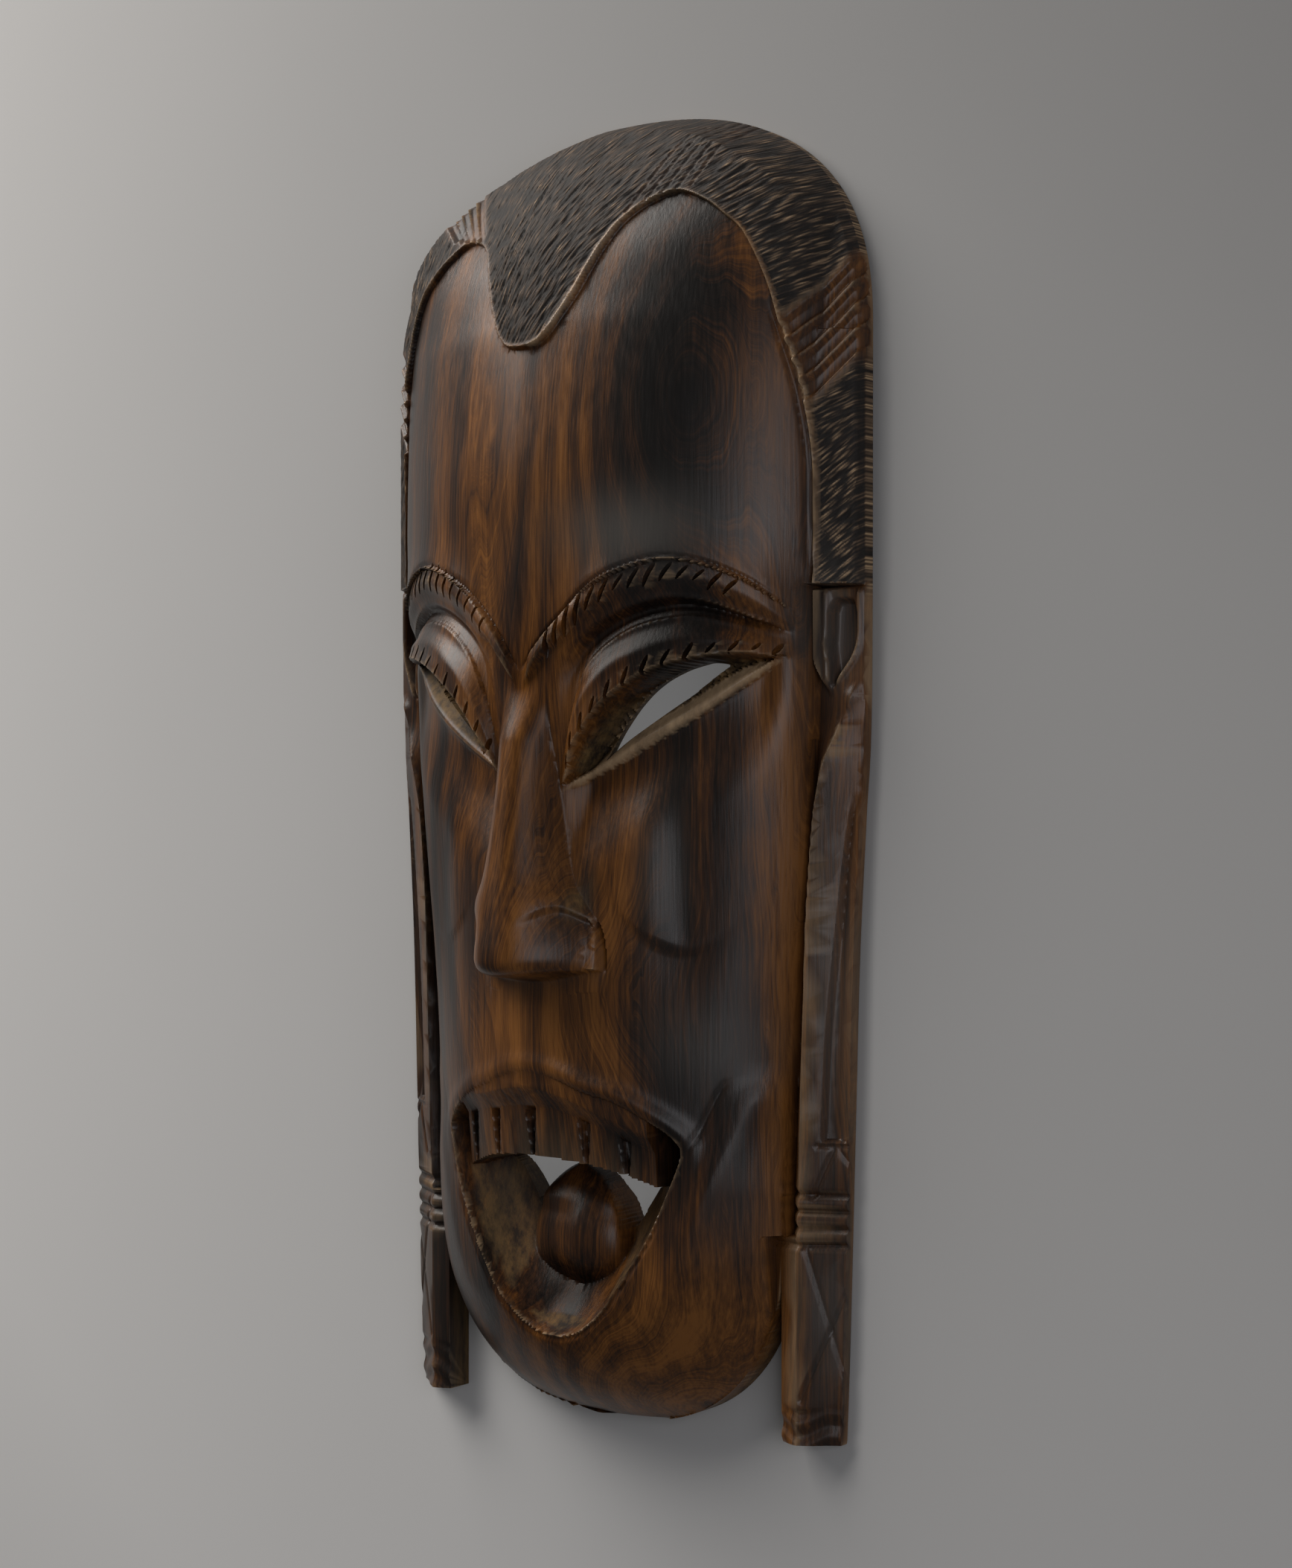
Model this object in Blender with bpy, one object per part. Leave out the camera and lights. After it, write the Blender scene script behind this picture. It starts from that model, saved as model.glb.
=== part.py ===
"""A carved hardwood face mask, lying on its back with its face up.

X runs across the face, Y from the chin to the crown and Z out of the face. The origin is under
the middle of the mask, on the flat plane of its back rim.
"""

import bmesh
import bpy
import numpy as np

# Driving sizes, in metres
HEIGHT = 0.5474
WIDTH = 0.2500
DEPTH = 0.0890
WALL = 0.012
BACK_RIM = 0.013
RIM_EDGE = 0.005

# The carving is drawn in millimetres on a form of this height, width and depth, and takes its
# proportions from the driving sizes above
DRAWN_HEIGHT = 547.4
DRAWN_WIDTH = 250.0
DRAWN_DEPTH = 89.0
UP = HEIGHT / DRAWN_HEIGHT
ACROSS = WIDTH / DRAWN_WIDTH
OUT = DEPTH / DRAWN_DEPTH
TOP = DRAWN_HEIGHT / 2
EDGE = RIM_EDGE / OUT

# Outline of the block: an arched crown on sides that narrow a little towards the pendants
ARCH_START = 175.0
ARCH_POWER = 2.5
SIDE_LINE = [(-275, 112.5), (-224, 114.5), (-138, 117), (-72, 119), (-18, 122), (30, 124.5), (175, 125)]
SHORT_PENDANT = 6.0
SHOULDER_DROP = 8.0

# The chin hangs between the pendants as a deep rounded lobe
CHIN_START = -170.0
CHIN_DROP = 101.0
CHIN_POWER = 2.5
PENDANT_INNER = 90.0

# Height of the face along its middle, its half width and how square its section is
CENTRE_LINE = [
    (-271, 9), (-265, 21), (-255, 33), (-240, 45), (-226, 52), (-215, 56), (-195, 59), (-160, 62),
    (-122, 64.5), (-77, 64), (-20, 62.5), (0, 63), (20, 66), (45, 69), (90, 71.5), (120, 72.5),
    (150, 70), (176, 66), (191, 62), (213, 55), (232, 45), (245, 37), (255, 29), (266, 17), (274, 9),
]
FORM_LINE = [(-170, 92.5), (-149, 93.5), (-105, 96), (-83, 98), (-40, 102), (0, 104.5), (40, 106.5), (60, 108.5),
             (80, 112), (100, 114), (275, 114)]
FACE_LINE = [(-170, 92.5), (-149, 93.5), (-105, 96), (-83, 98), (-40, 102), (0, 103.5), (30, 104.5), (100, 104.5)]
SQUARENESS = [(-270, 1.6), (-100, 1.6), (-50, 1.65), (0, 1.78), (40, 1.8), (80, 1.62), (275, 1.6)]

# Hair: a raised field whose edge makes a peak on the forehead and a lobe on each side
HAIR_LINE = [
    (-6, 173), (0, 172), (7, 173), (13, 178), (21, 191), (26, 202), (31, 213), (37, 223), (46, 230),
    (57, 233), (69, 228), (78, 221), (86, 213), (94, 196), (100, 176), (107, 152), (111, 128),
    (112, 105), (112, 85), (110, 70),
]
HAIR_STEP = 3.2
HAIR_FALL = 0.72
HAIR_RIM = 26.0
HAIR_ROUND = 2.2
HAIR_BUNDLES = [((107, 171), (126, 199), (113, 143), (127, 161)), ((38, 238), (58, 264), (57, 236), (80, 259))]
BUNDLE_GROOVES = 4
BUNDLE_DEEP = 2.2
BUNDLE_WIDE = 2.6
EAR_TOP_LEFT = 83.0
EAR_TOP_RIGHT = 74.0

# Brow, eyelid and eye, as heights on the face over the distance from its middle
BROW_LINE = [(-8, 50), (0, 41), (8, 51), (14, 59), (20, 65.5), (30, 74.5), (40, 80.5), (50, 84.5), (60, 87),
             (68, 87), (77, 85), (86, 81), (93, 76.5), (99, 70.5), (106, 63)]
BROW_HIGH = 3.2
BROW_WIDE = 9.0
FOLD_LINE = [(14, 0), (18, 12), (23, 29), (29, 44), (36, 52.5), (44, 58.5), (51, 62), (58, 64), (67, 65.5), (75, 65),
             (86, 62), (99, 58), (108, 56)]
LID_LINE = [(12, -5), (16, -2), (19, 3), (22.5, 11), (28, 18.5), (34, 26), (40, 32), (47, 37), (55, 42), (63, 45.5),
            (70, 47.5), (77, 49), (85, 50), (92, 50), (98, 49), (106, 48)]
SLIT_LINE = [(12, -5), (16, -2), (21, 3), (28, 10), (36, 16), (45, 21.5), (56, 28), (67, 34.5), (77, 41.5), (86, 47), (95, 49),
             (106, 48)]
CHEEK_LINE = [(12, -5), (17, -3), (28, 3), (38, 8), (47, 13), (56, 18), (65, 23.5), (74, 29.5), (83, 36.5), (91, 43),
              (98, 48), (106, 48)]
EYE_START = 14.0
EYE_END = 103.0
ORBIT_DEEP = 5.0
LID_HIGH = 4.5
SLIT_DEEP = 11.0
STRIP_HIGH = 5.5
CHEEK_SUNK = 8.0
CHEEK_REACH = 44.0
SLIT_MIDDLE = 56.0
SLIT_HALF = 28.0
SLIT_OPEN = 12.5
SLIT_SLANT = 0.42
SLIT_LEVEL = 41.0
EYES_DOWN_RIGHT = 3.5
EYES_DOWN_LEFT = 0.5

# Nose
NOSE_LINE = [(-88, 62), (-81, 65), (-78.5, 82), (-75, 88), (-69, 89), (-57, 87), (-31, 82.5), (-5, 78.5), (17, 75.5),
             (30, 73.5), (42, 70)]
NOSE_WIDE = [(-88, 25), (-79, 29), (-70, 27), (-58, 21), (-45, 17.5), (-20, 15), (10, 13), (28, 12), (42, 16)]
WING_MIDDLE = (24.5, -71.0)
WING_HIGH = 14.0

# Mouth: the edge of the lips over one half, the teeth, the tongue and the gaps beside it
LIP_LINE = [
    (-8, -123), (0, -121.5), (8, -122), (18, -125), (26, -128.5), (37, -131.5), (48, -137.5), (57, -144),
    (61.5, -150), (60, -158), (55.5, -170), (49.5, -184), (42, -197), (34, -209), (26, -219), (16, -227),
    (8, -230.5), (0, -231.5), (-8, -230.5),
]
LIP_HIGH = 3.0
MOUTH_DEEP = 42.0
TEETH_BOTTOM = [(-50, -166.5), (-44, -164), (-27, -159), (0, -157), (27, -159.5), (44, -164.5), (50, -167)]
TEETH_FRONT = [(-50, 42), (-44, 45), (-27, 52), (0, 56), (27, 52), (44, 45), (50, 42)]
TEETH_TOP = [(-50, -144), (-44, -142), (-27, -139), (0, -136), (20, -139.5), (38, -147), (50, -153)]
TEETH_END = 50.0
NOTCH_DEEP = 3.5
GUM_SLOPE = 0.65
TOOTH_GAPS = [-44.0, -26.0, -4.0, 22.0, 38.5]
GAP_LINE = [(-46, -162), (-39, -166.5), (-31, -177), (-23, -187), (0, -190), (23, -187), (31, -177), (39, -166.5),
            (46, -162)]
TONGUE_WIDE = [(-222, 8), (-212, 17), (-200, 20.5), (-188, 21), (-178, 18.5), (-171, 14), (-166, 9), (-163, 3)]
TONGUE_HIGH = [(-222, 33), (-212, 39), (-200, 41), (-188, 39.5), (-178, 36), (-170, 32), (-163, 27)]

# Cheek: a hollow under the bone, and the crease that runs from the cheek into the jaw
HOLLOW_MIDDLE = (66.0, -86.0)
HOLLOW_SIZE = (15.0, 12.0)
HOLLOW_DEEP = 5.0
CREASE_LINE = [(84, -116), (80, -125), (74.5, -138), (69, -151), (64, -164), (58, -176)]
CREASE_HIGH = 4.0
CREASE_WIDE = 13.0

# Ear and the stretched lobe that runs down the side as a band and ends in the pendant
RIDGE_LINE = [(-280, 98), (-185, 98.5), (-163, 99.5), (-138, 100), (-94, 101.5), (-61, 102.5), (-39, 104), (-18, 106),
              (-7, 108), (3, 110.5), (11, 113.5), (21, 117), (31, 121), (44, 124)]
RIDGE_HIGH = 15.0
GROOVE_HIGH = 7.5
PENDANT_EDGE = 13.0
EAR_HIGH = 13.0
EAR_SLOPE = 0.38
EAR_DEEP = 4.5
EAR_LEFT = 106.0
EAR_RIGHT = 121.5
EAR_RING = 6.0
EAR_NARROWS = 50.0
EAR_TIP = (112.0, 33.0)
SLOT_TOP = -8.0
SLOT_BOTTOM = -147.0
SLOT_INNER = [(-147, 107.5), (-105, 109.5), (-61, 113.5), (-30, 117), (-13, 119.5)]
SLOT_DEEP = 3.0
BAND_TOP_RIGHT = -168.0
BAND_TOP_LEFT = -181.0
BAND_STEP = 6.7
BAND_DEEP = 1.8
BANDS = 4

# Hollow of the back: how high the carving lies over it, where it starts and where it ends
UNDER_LINE = [(-215, 12), (-195, 25), (-175, 28), (-160, 33), (-145, 46), (-120, 54), (-77, 57), (0, 55), (45, 56),
              (90, 64), (120, 66), (150, 62), (176, 57), (200, 47), (225, 31), (242, 12)]
HOLLOW_WIDE = [(-215, 40), (-195, 76), (-175, 80), (-149, 82), (-105, 84), (-40, 90), (20, 92), (80, 100), (176, 100),
               (205, 94), (225, 76), (242, 45)]

# Fineness of the carved surfaces: SOFT is the width over which a cut edge turns
SOFT = 3.4
CUT_SPARE = 3.0
CARVED_STEP = 1.5
CARVED_FACES = 6500
HOLLOW_STEP = 12.0
OUTLINE_POINTS = 56
WOOD_COLOUR = (0.075, 0.031, 0.015, 1.0)


def spline(points, steps=10):
    """A smooth curve through the points, as many short straight pieces."""
    p = np.array(points, float)
    p = np.vstack([2 * p[0] - p[1], p, 2 * p[-1] - p[-2]])
    t = np.linspace(0, 1, steps, endpoint=False)[:, None]
    pieces = []
    for a, b, c, d in zip(p, p[1:], p[2:], p[3:]):
        bend = (2 * a - 5 * b + 4 * c - d) * t**2 + (3 * b - a - 3 * c + d) * t**3
        pieces.append(0.5 * (2 * b + (c - a) * t + bend))
    return np.vstack(pieces + [p[-2:-1]])


def level(at, points):
    """The value of a smooth profile at each place."""
    curve = spline(points)
    return np.interp(at, curve[:, 0], curve[:, 1])


def ease(t):
    """A soft step from 0 to 1."""
    t = np.clip(t, 0, 1)
    return t * t * (3 - 2 * t)


def hump(distance, width):
    """A soft rounded bump, 1 in the middle."""
    return np.exp(-((distance / width) ** 2))


def beside(x, y, points):
    """Distance to a curve, positive to the left of its direction."""
    curve = spline(points)
    best = np.full(x.shape, 1e9)
    side = np.ones(x.shape)
    for (ax, ay), (bx, by) in zip(curve, curve[1:]):
        ex, ey = bx - ax, by - ay
        t = np.clip(((x - ax) * ex + (y - ay) * ey) / (ex * ex + ey * ey), 0, 1)
        dx, dy = x - ax - t * ex, y - ay - t * ey
        distance = np.hypot(dx, dy)
        near = distance < best
        best = np.where(near, distance, best)
        side = np.where(near, np.sign(ex * dy - ey * dx), side)
    return best * side


def between(y, lines, offsets):
    """Eased heights between lines that lie one under another, from the top one down."""
    height = np.full(y.shape, offsets[0], float)
    for upper, lower, start, end in zip(lines, lines[1:], offsets, offsets[1:]):
        share = ease((upper - y) / np.maximum(upper - lower, 0.3))
        height = np.where(y < upper, start + (end - start) * share, height)
    return height


def side_width(y):
    """Half width of the whole block."""
    straight = level(y, SIDE_LINE)
    rise = np.clip((y - ARCH_START) / (TOP - ARCH_START), 0, 1)
    return straight * (1 - rise**ARCH_POWER) ** (1 / ARCH_POWER)


def chin_width(y):
    """Half width of the chin below the place where it comes free of the bands."""
    drop = np.clip((CHIN_START - y) / CHIN_DROP, 0, 1)
    return FACE_LINE[0][1] * (1 - drop**CHIN_POWER) ** (1 / CHIN_POWER)


def face_width(y):
    """Half width of the face up to the groove that parts it from the ear and the lobe."""
    return np.where(y < CHIN_START, chin_width(y), level(y, FACE_LINE))


def form_width(y):
    """Half width of the domed form, which runs a little past the cut edge of the chin."""
    drop = np.clip((CHIN_START - y) / (CHIN_DROP + CUT_SPARE), 0, 1)
    chin = (FACE_LINE[0][1] + CUT_SPARE) * (1 - drop**CHIN_POWER) ** (1 / CHIN_POWER)
    return np.where(y < CHIN_START, chin, level(y, FORM_LINE) + CUT_SPARE * ease((CHIN_START + 30 - y) / 30))


def dome(x, y):
    """The smooth form of the face before its features are cut."""
    t = np.clip(np.abs(x) / np.maximum(form_width(y), 0.1), 0, 1)
    power = level(y, SQUARENESS)
    return EDGE + (level(y, CENTRE_LINE) - EDGE) * (1 - t**power) ** (1 / power)


def edge_distance(x, y):
    """Roughly how far a place lies inside the arched outline."""
    inside = side_width(y) - np.abs(x)
    rise = np.clip(y - ARCH_START, 0, None) / (TOP - ARCH_START)
    spread = np.abs(x) / level(y, SIDE_LINE)
    shape = (rise**ARCH_POWER + spread**ARCH_POWER) ** (1 / ARCH_POWER)
    return np.where(rise > 0, (1 - shape) * (TOP - ARCH_START) * 0.98, inside)


def hair(x, y, ground):
    """The hair field, a step above the forehead, which falls towards the rim."""
    inside = np.clip(edge_distance(x, y), 0, None)
    skirt = EDGE + HAIR_FALL * np.minimum(inside, HAIR_RIM)
    field = np.maximum(ground, skirt) + HAIR_STEP
    for bundle in HAIR_BUNDLES:
        field = field - BUNDLE_DEEP * grooves(np.abs(x), y, *bundle)
    field = np.minimum(field, EDGE + HAIR_ROUND * inside)
    share = ease(beside(np.abs(x), y, HAIR_LINE) / SOFT + 0.5)
    return ground + (field - ground) * share


def grooves(x, y, first_start, first_end, last_start, last_end):
    """A bundle of straight grooves that fans out between a first and a last one."""
    cut = np.zeros(x.shape)
    for share in np.linspace(0, 1, BUNDLE_GROOVES):
        ax, ay = np.array(first_start) + share * (np.array(last_start) - first_start)
        bx, by = np.array(first_end) + share * (np.array(last_end) - first_end)
        t = np.clip(((x - ax) * (bx - ax) + (y - ay) * (by - ay)) / ((bx - ax) ** 2 + (by - ay) ** 2), 0, 1)
        cut = np.maximum(cut, hump(np.hypot(x - ax - t * (bx - ax), y - ay - t * (by - ay)), BUNDLE_WIDE))
    return cut


def slit_top(a):
    """The upper edge of the opening of the eye."""
    share = np.clip(1 - ((a - SLIT_MIDDLE) / SLIT_HALF) ** 2, 0, 1)
    return np.minimum(level(a, SLIT_LINE) + SLIT_OPEN * share, level(a, LID_LINE) - 1.5)


def eye_region(x, y):
    """Brow, orbit, lid, slit and lower lid, as heights over the face."""
    a = np.abs(x)
    y = y + np.where(x > 0, EYES_DOWN_RIGHT, EYES_DOWN_LEFT) * ease(a / 20)
    brow = level(a, BROW_LINE)
    fold = level(a, FOLD_LINE)
    lid = level(a, LID_LINE)
    slit = level(a, SLIT_LINE)
    cheek = level(a, CHEEK_LINE)
    fade = ease((a - EYE_START) / 12) * ease((EYE_END - a) / 14)
    wide = ease((a + 1) / 9) * ease((EYE_END + 3 - a) / 12)
    brow_foot = brow - BROW_WIDE - 5 * fade
    valley = brow_foot + 0.45 * (fold - brow_foot)
    soft = SOFT / 2
    lines = [brow + soft, brow - soft, brow - 0.55 * BROW_WIDE, brow_foot, valley, fold, 0.4 * fold + 0.6 * lid,
             lid + 0.5, lid - soft, slit_top(a), slit, cheek + soft, cheek - soft, cheek - CHEEK_REACH]
    offsets = [0, BROW_HIGH * 0.8, BROW_HIGH, 0, -ORBIT_DEEP, -ORBIT_DEEP * 0.3, LID_HIGH * 0.8,
               LID_HIGH, 0, -SLIT_DEEP - 2, -SLIT_DEEP, -STRIP_HIGH, -CHEEK_SUNK, 0]
    whole = between(y, lines, offsets)
    brow_only = between(y, lines[:4] + [lines[3] - 12], offsets[:4] + [0])
    return brow_only * wide * (1 - fade) + whole * fade


def nose(x, y, ground):
    """The nose, which ends below in a sharp underside, with a flared wing each side."""
    ridge = level(y, NOSE_LINE)
    t = np.abs(x) / level(y, NOSE_WIDE)
    body = ground + (ridge - ground) * np.clip(1 - t**2.2, 0, 1) ** 0.8
    wing_x, wing_y = WING_MIDDLE
    wing = WING_HIGH * hump(np.abs(x) - wing_x, 8) * hump(y - wing_y, 8) * ease((y + 79) / 3)
    inside = (y > NOSE_LINE[0][0]) & (y < NOSE_LINE[-1][0]) & (t < 1)
    return np.maximum(np.where(inside, np.maximum(body, ground), ground), ground + wing)


def cheek_forms(x, y):
    """The hollow under the cheekbone and the jaw that swells outside the crease."""
    a = np.abs(x)
    hollow = -HOLLOW_DEEP * hump(a - HOLLOW_MIDDLE[0], HOLLOW_SIZE[0]) * hump(y - HOLLOW_MIDDLE[1], HOLLOW_SIZE[1])
    out = beside(a, y, CREASE_LINE)
    reach = ease((CREASE_LINE[0][1] + 6 - y) / 14) * ease((y - CREASE_LINE[-1][1] + 30) / 34)
    jaw = CREASE_HIGH * ease(out / SOFT + 0.5) * np.exp(-np.clip(out, 0, None) / CREASE_WIDE) * reach
    return hollow + jaw


def teeth(x, y, lip_inside):
    """The upper teeth, with a notch between each two that is wide at the gum."""
    bottom = level(x, TEETH_BOTTOM)
    front = level(x, TEETH_FRONT)
    notch = np.zeros(x.shape)
    for place in TOOTH_GAPS:
        half = 0.8 + 0.12 * np.clip(y - bottom, 0, None)
        notch = np.maximum(notch, ease((half - np.abs(x - place)) / 1.6 + 0.5))
    gum = y - level(x, TEETH_TOP)
    here = (y > bottom) & (lip_inside > 0) & (np.abs(x) < TEETH_END)
    return here, front - NOTCH_DEEP * notch * ease(-gum / 2) + 0.10 * (y - bottom) + GUM_SLOPE * np.clip(gum, 0, None)


def tongue(x, y):
    wide = level(y, TONGUE_WIDE)
    high = level(y, TONGUE_HIGH)
    t = np.abs(x) / wide
    here = (t < 1) & (y > TONGUE_WIDE[0][0]) & (y < TONGUE_WIDE[-1][0])
    return here, high - 13 * (1 - np.sqrt(np.clip(1 - t**2, 0, 1)))


def mouth(x, y, ground):
    """The open mouth, deep enough to break through into the hollow beside the tongue."""
    inside = -beside(np.abs(x), y, LIP_LINE)
    lip = LIP_HIGH * hump(inside + 3.5, 3.8) * ease((y + 175) / 40)
    floor = ground - MOUTH_DEEP * (1 - np.exp(-np.clip(inside, 0, None) / 13))
    height = np.where(inside > 0, np.maximum(floor, EDGE + 9), ground + lip)
    is_tooth, tooth = teeth(x, y, inside)
    gap = (inside > 2) & (y < level(x, TEETH_BOTTOM)) & (y > level(x, GAP_LINE))
    height = np.where(gap, -5.0, height)
    is_tongue, tongue_height = tongue(x, y)
    height = np.where(is_tongue & (y < level(x, TEETH_BOTTOM)), np.maximum(height, tongue_height), height)
    return np.where(is_tooth, np.maximum(np.minimum(tooth, ground), height), height)


def band(x, y):
    """The ear, the lobe with its slot, the bound part and the pendant, outside the face."""
    a = np.abs(x)
    right = x > 0
    ridge = level(y, RIDGE_LINE)
    outer = side_width(y)
    inner = np.where(y < CHIN_START - 15, PENDANT_INNER, face_width(y))
    inner_high = np.where(y < CHIN_START - 15, PENDANT_EDGE, GROOVE_HIGH)
    outside = np.clip((a - ridge) / np.maximum(outer - ridge, 1), 0, 1)
    within = np.clip((ridge - a) / np.maximum(ridge - inner, 1), 0, 1)
    height = np.where(a > ridge, RIDGE_HIGH - (RIDGE_HIGH - EDGE) * outside,
                      RIDGE_HIGH - (RIDGE_HIGH - inner_high) * within)
    slot = ease((a - level(y, SLOT_INNER)) / SOFT + 0.5) * ease((SLOT_TOP - y) / 12) * ease((y - SLOT_BOTTOM) / SOFT)
    height = np.maximum(height - SLOT_DEEP * slot, EDGE)
    first = np.where(right, BAND_TOP_RIGHT, BAND_TOP_LEFT)
    for number in range(BANDS):
        height = height - BAND_DEEP * hump(y - first + number * BAND_STEP, 1.6)
    return np.where(y > 22, ear(a, y, np.where(right, EAR_TOP_RIGHT, EAR_TOP_LEFT), height), height)


def ear(a, y, top, below):
    """A raised ring round a hollow, which narrows to a tip over the place where the lobe begins."""
    ring_x, tip_x = EAR_LEFT, EAR_TIP[0]
    plate = np.maximum(EAR_HIGH - EAR_SLOPE * (a - ring_x), EDGE)
    right_edge = EAR_RIGHT - (EAR_RIGHT - tip_x - 2) * ease((EAR_NARROWS - y) / (EAR_NARROWS - EAR_TIP[1]))
    hole = ease((a - ring_x - EAR_RING) / SOFT + 0.5) * ease((right_edge - a) / SOFT + 0.5)
    hole = hole * ease((top - EAR_RING - y) / SOFT + 0.5) * ease((y - EAR_TIP[1]) / SOFT)
    ring = plate - EAR_DEEP * hole
    ring = GROOVE_HIGH + (ring - GROOVE_HIGH) * ease((a - ring_x) / SOFT + 0.5)
    ring = below + (ring - below) * ease((y - EAR_TIP[1] + 4) / 8)
    return EDGE + (ring - EDGE) * ease((top - y) / SOFT)


def lean(x, y):
    """How far the crown lies lower on its left side."""
    return SHOULDER_DROP * ease(-x / 70) * ease((y - 150) / 90)


def front_height(x, y):
    """Height of the whole carved front over the plane of the back rim."""
    y = y + lean(x, y)
    ground = dome(x, y)
    face = ground + cheek_forms(x, y)
    face = face + eye_region(x, y)
    face = nose(x, y, face)
    face = mouth(x, y, face)
    haired = hair(x, y, face)
    sides = band(x, y)
    ear_top = np.where(x > 0, EAR_TOP_RIGHT, EAR_TOP_LEFT)
    lower = np.where(np.abs(x) < face_width(y), np.maximum(face, np.where(y < CHIN_START, EDGE, GROOVE_HIGH)), sides)
    lower = np.where((y < CHIN_START - 15) & (np.abs(x) > PENDANT_INNER - 3), sides, lower)
    return np.where(y > ear_top, haired, lower)


def hollow_height(x, y):
    """Height of the hollow in the back, below zero where there is none."""
    t = np.clip(np.abs(x) / (level(y, HOLLOW_WIDE) + 13 - BACK_RIM / ACROSS), 0, 1.2)
    crown = level(y, UNDER_LINE) - WALL / OUT
    bowl = crown * np.sqrt(np.clip(1 - t**2, 0, 1)) - 30 * np.clip(t - 1, 0, None)
    beyond = np.clip(y - UNDER_LINE[-1][0], 0, None) + np.clip(UNDER_LINE[0][0] - y, 0, None)
    return np.where(beyond > 0, -3, bowl)


def add_object(name, mesh, collection):
    piece = bpy.data.objects.new(name, mesh)
    collection.objects.link(piece)
    return piece


def carved_block(name, height, step, low, collection):
    """A block whose top is a grid raised to the given height, closed by a flat bottom."""
    half_x = DRAWN_WIDTH / 2 + 4
    half_y = TOP + 4
    across = int(round(2 * half_x / step))
    along = int(round(2 * half_y / step))
    bm = bmesh.new()
    bmesh.ops.create_grid(bm, x_segments=across, y_segments=along, size=1)
    places = np.array([v.co[:2] for v in bm.verts]) * (half_x, half_y)
    heights = height(places[:, 0], places[:, 1])
    for vertex, (x, y), z in zip(bm.verts, places, heights):
        vertex.co = (x * ACROSS, y * UP, z * OUT)
    rim = [edge for edge in bm.edges if edge.is_boundary]
    lowered = bmesh.ops.extrude_edge_only(bm, edges=rim)["geom"]
    for item in lowered:
        if isinstance(item, bmesh.types.BMVert):
            item.co.z = low
    bottom = [edge for edge in bm.edges if edge.is_boundary]
    bmesh.ops.contextual_create(bm, geom=bottom)
    bmesh.ops.triangulate(bm, faces=bm.faces[:])
    bmesh.ops.recalc_face_normals(bm, faces=bm.faces[:])
    mesh = bpy.data.meshes.new(name)
    bm.to_mesh(mesh)
    bm.free()
    return add_object(name, mesh, collection)


def prism(name, outline, low, high, collection, slant=0.0):
    """A closed outline drawn out from low to high, leaning across by the slant."""
    bm = bmesh.new()
    base = [bm.verts.new((x * ACROSS + slant * low, y * UP, low)) for x, y in outline]
    face = bm.faces.new(base)
    raised = bmesh.ops.extrude_face_region(bm, geom=[face])["geom"]
    for item in raised:
        if isinstance(item, bmesh.types.BMVert):
            item.co.x += slant * (high - low)
            item.co.z = high
    bmesh.ops.recalc_face_normals(bm, faces=bm.faces[:])
    mesh = bpy.data.meshes.new(name)
    bm.to_mesh(mesh)
    bm.free()
    return add_object(name, mesh, collection)


def block_outline():
    """Up the right side, over the crown, down the left side and across the pendants' ends."""
    turn = np.linspace(0, np.pi / 2, OUTLINE_POINTS // 2)
    arch_y = ARCH_START + (TOP - ARCH_START) * np.sin(turn) ** (2 / ARCH_POWER)
    side_y = np.linspace(-TOP, ARCH_START, 14)[:-1]
    up = np.concatenate([side_y, arch_y[:-1]])
    right = [(side_width(y), y) for y in up]
    left = [(-x, y - lean(-x, y)) for x, y in right[::-1]]
    right[0] = (right[0][0], -TOP + SHORT_PENDANT)
    middle = [(30, -TOP + SHORT_PENDANT), (-30, -TOP)]
    return right + [(0, TOP)] + left + middle[::-1]


def gap_outline():
    """The open space round the chin, between the two pendants."""
    start = CHIN_DROP * (1 - (PENDANT_INNER / FACE_LINE[0][1]) ** CHIN_POWER) ** (1 / CHIN_POWER)
    turn = np.linspace(0, np.pi / 2, 16)
    drops = start + (CHIN_DROP - start) * np.sin(turn)
    right = [(float(chin_width(CHIN_START - drop)), CHIN_START - drop) for drop in drops]
    right[0] = (PENDANT_INNER, right[0][1])
    left = [(-x, y) for x, y in right[::-1]]
    foot = -TOP - 10
    return [(PENDANT_INNER, foot)] + right[:-1] + [(0, CHIN_START - CHIN_DROP)] + left[1:] + [(-PENDANT_INNER, foot)]


def slit_outline(side):
    """The long almond of one eye."""
    across = SLIT_MIDDLE + SLIT_HALF * np.linspace(-0.97, 0.97, 15)
    down = EYES_DOWN_RIGHT if side > 0 else EYES_DOWN_LEFT
    upper = [(x, float(slit_top(x)) - down) for x in across]
    lower = [(x, float(level(x, SLIT_LINE)) - down) for x in across[::-1]]
    return [(side * x, y) for x, y in upper + lower]


def evaluated_copy(piece, name, collection):
    """The shape that the modifiers give, as a plain mesh in a new object."""
    graph = bpy.context.evaluated_depsgraph_get()
    mesh = bpy.data.meshes.new_from_object(piece.evaluated_get(graph))
    bpy.data.objects.remove(piece)
    mesh.name = name
    return add_object(name, mesh, collection)


def cut(piece, cutter, operation):
    modifier = piece.modifiers.new(cutter.name, "BOOLEAN")
    modifier.operation = operation
    modifier.object = cutter
    cutter.hide_render = True
    cutter.display_type = "WIRE"


def wood(name, colour):
    material = bpy.data.materials.new(name)
    material.use_nodes = True
    shader = material.node_tree.nodes["Principled BSDF"]
    shader.inputs["Base Color"].default_value = colour
    shader.inputs["Roughness"].default_value = 0.38
    shader.inputs["Metallic"].default_value = 0.0
    return material


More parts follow.
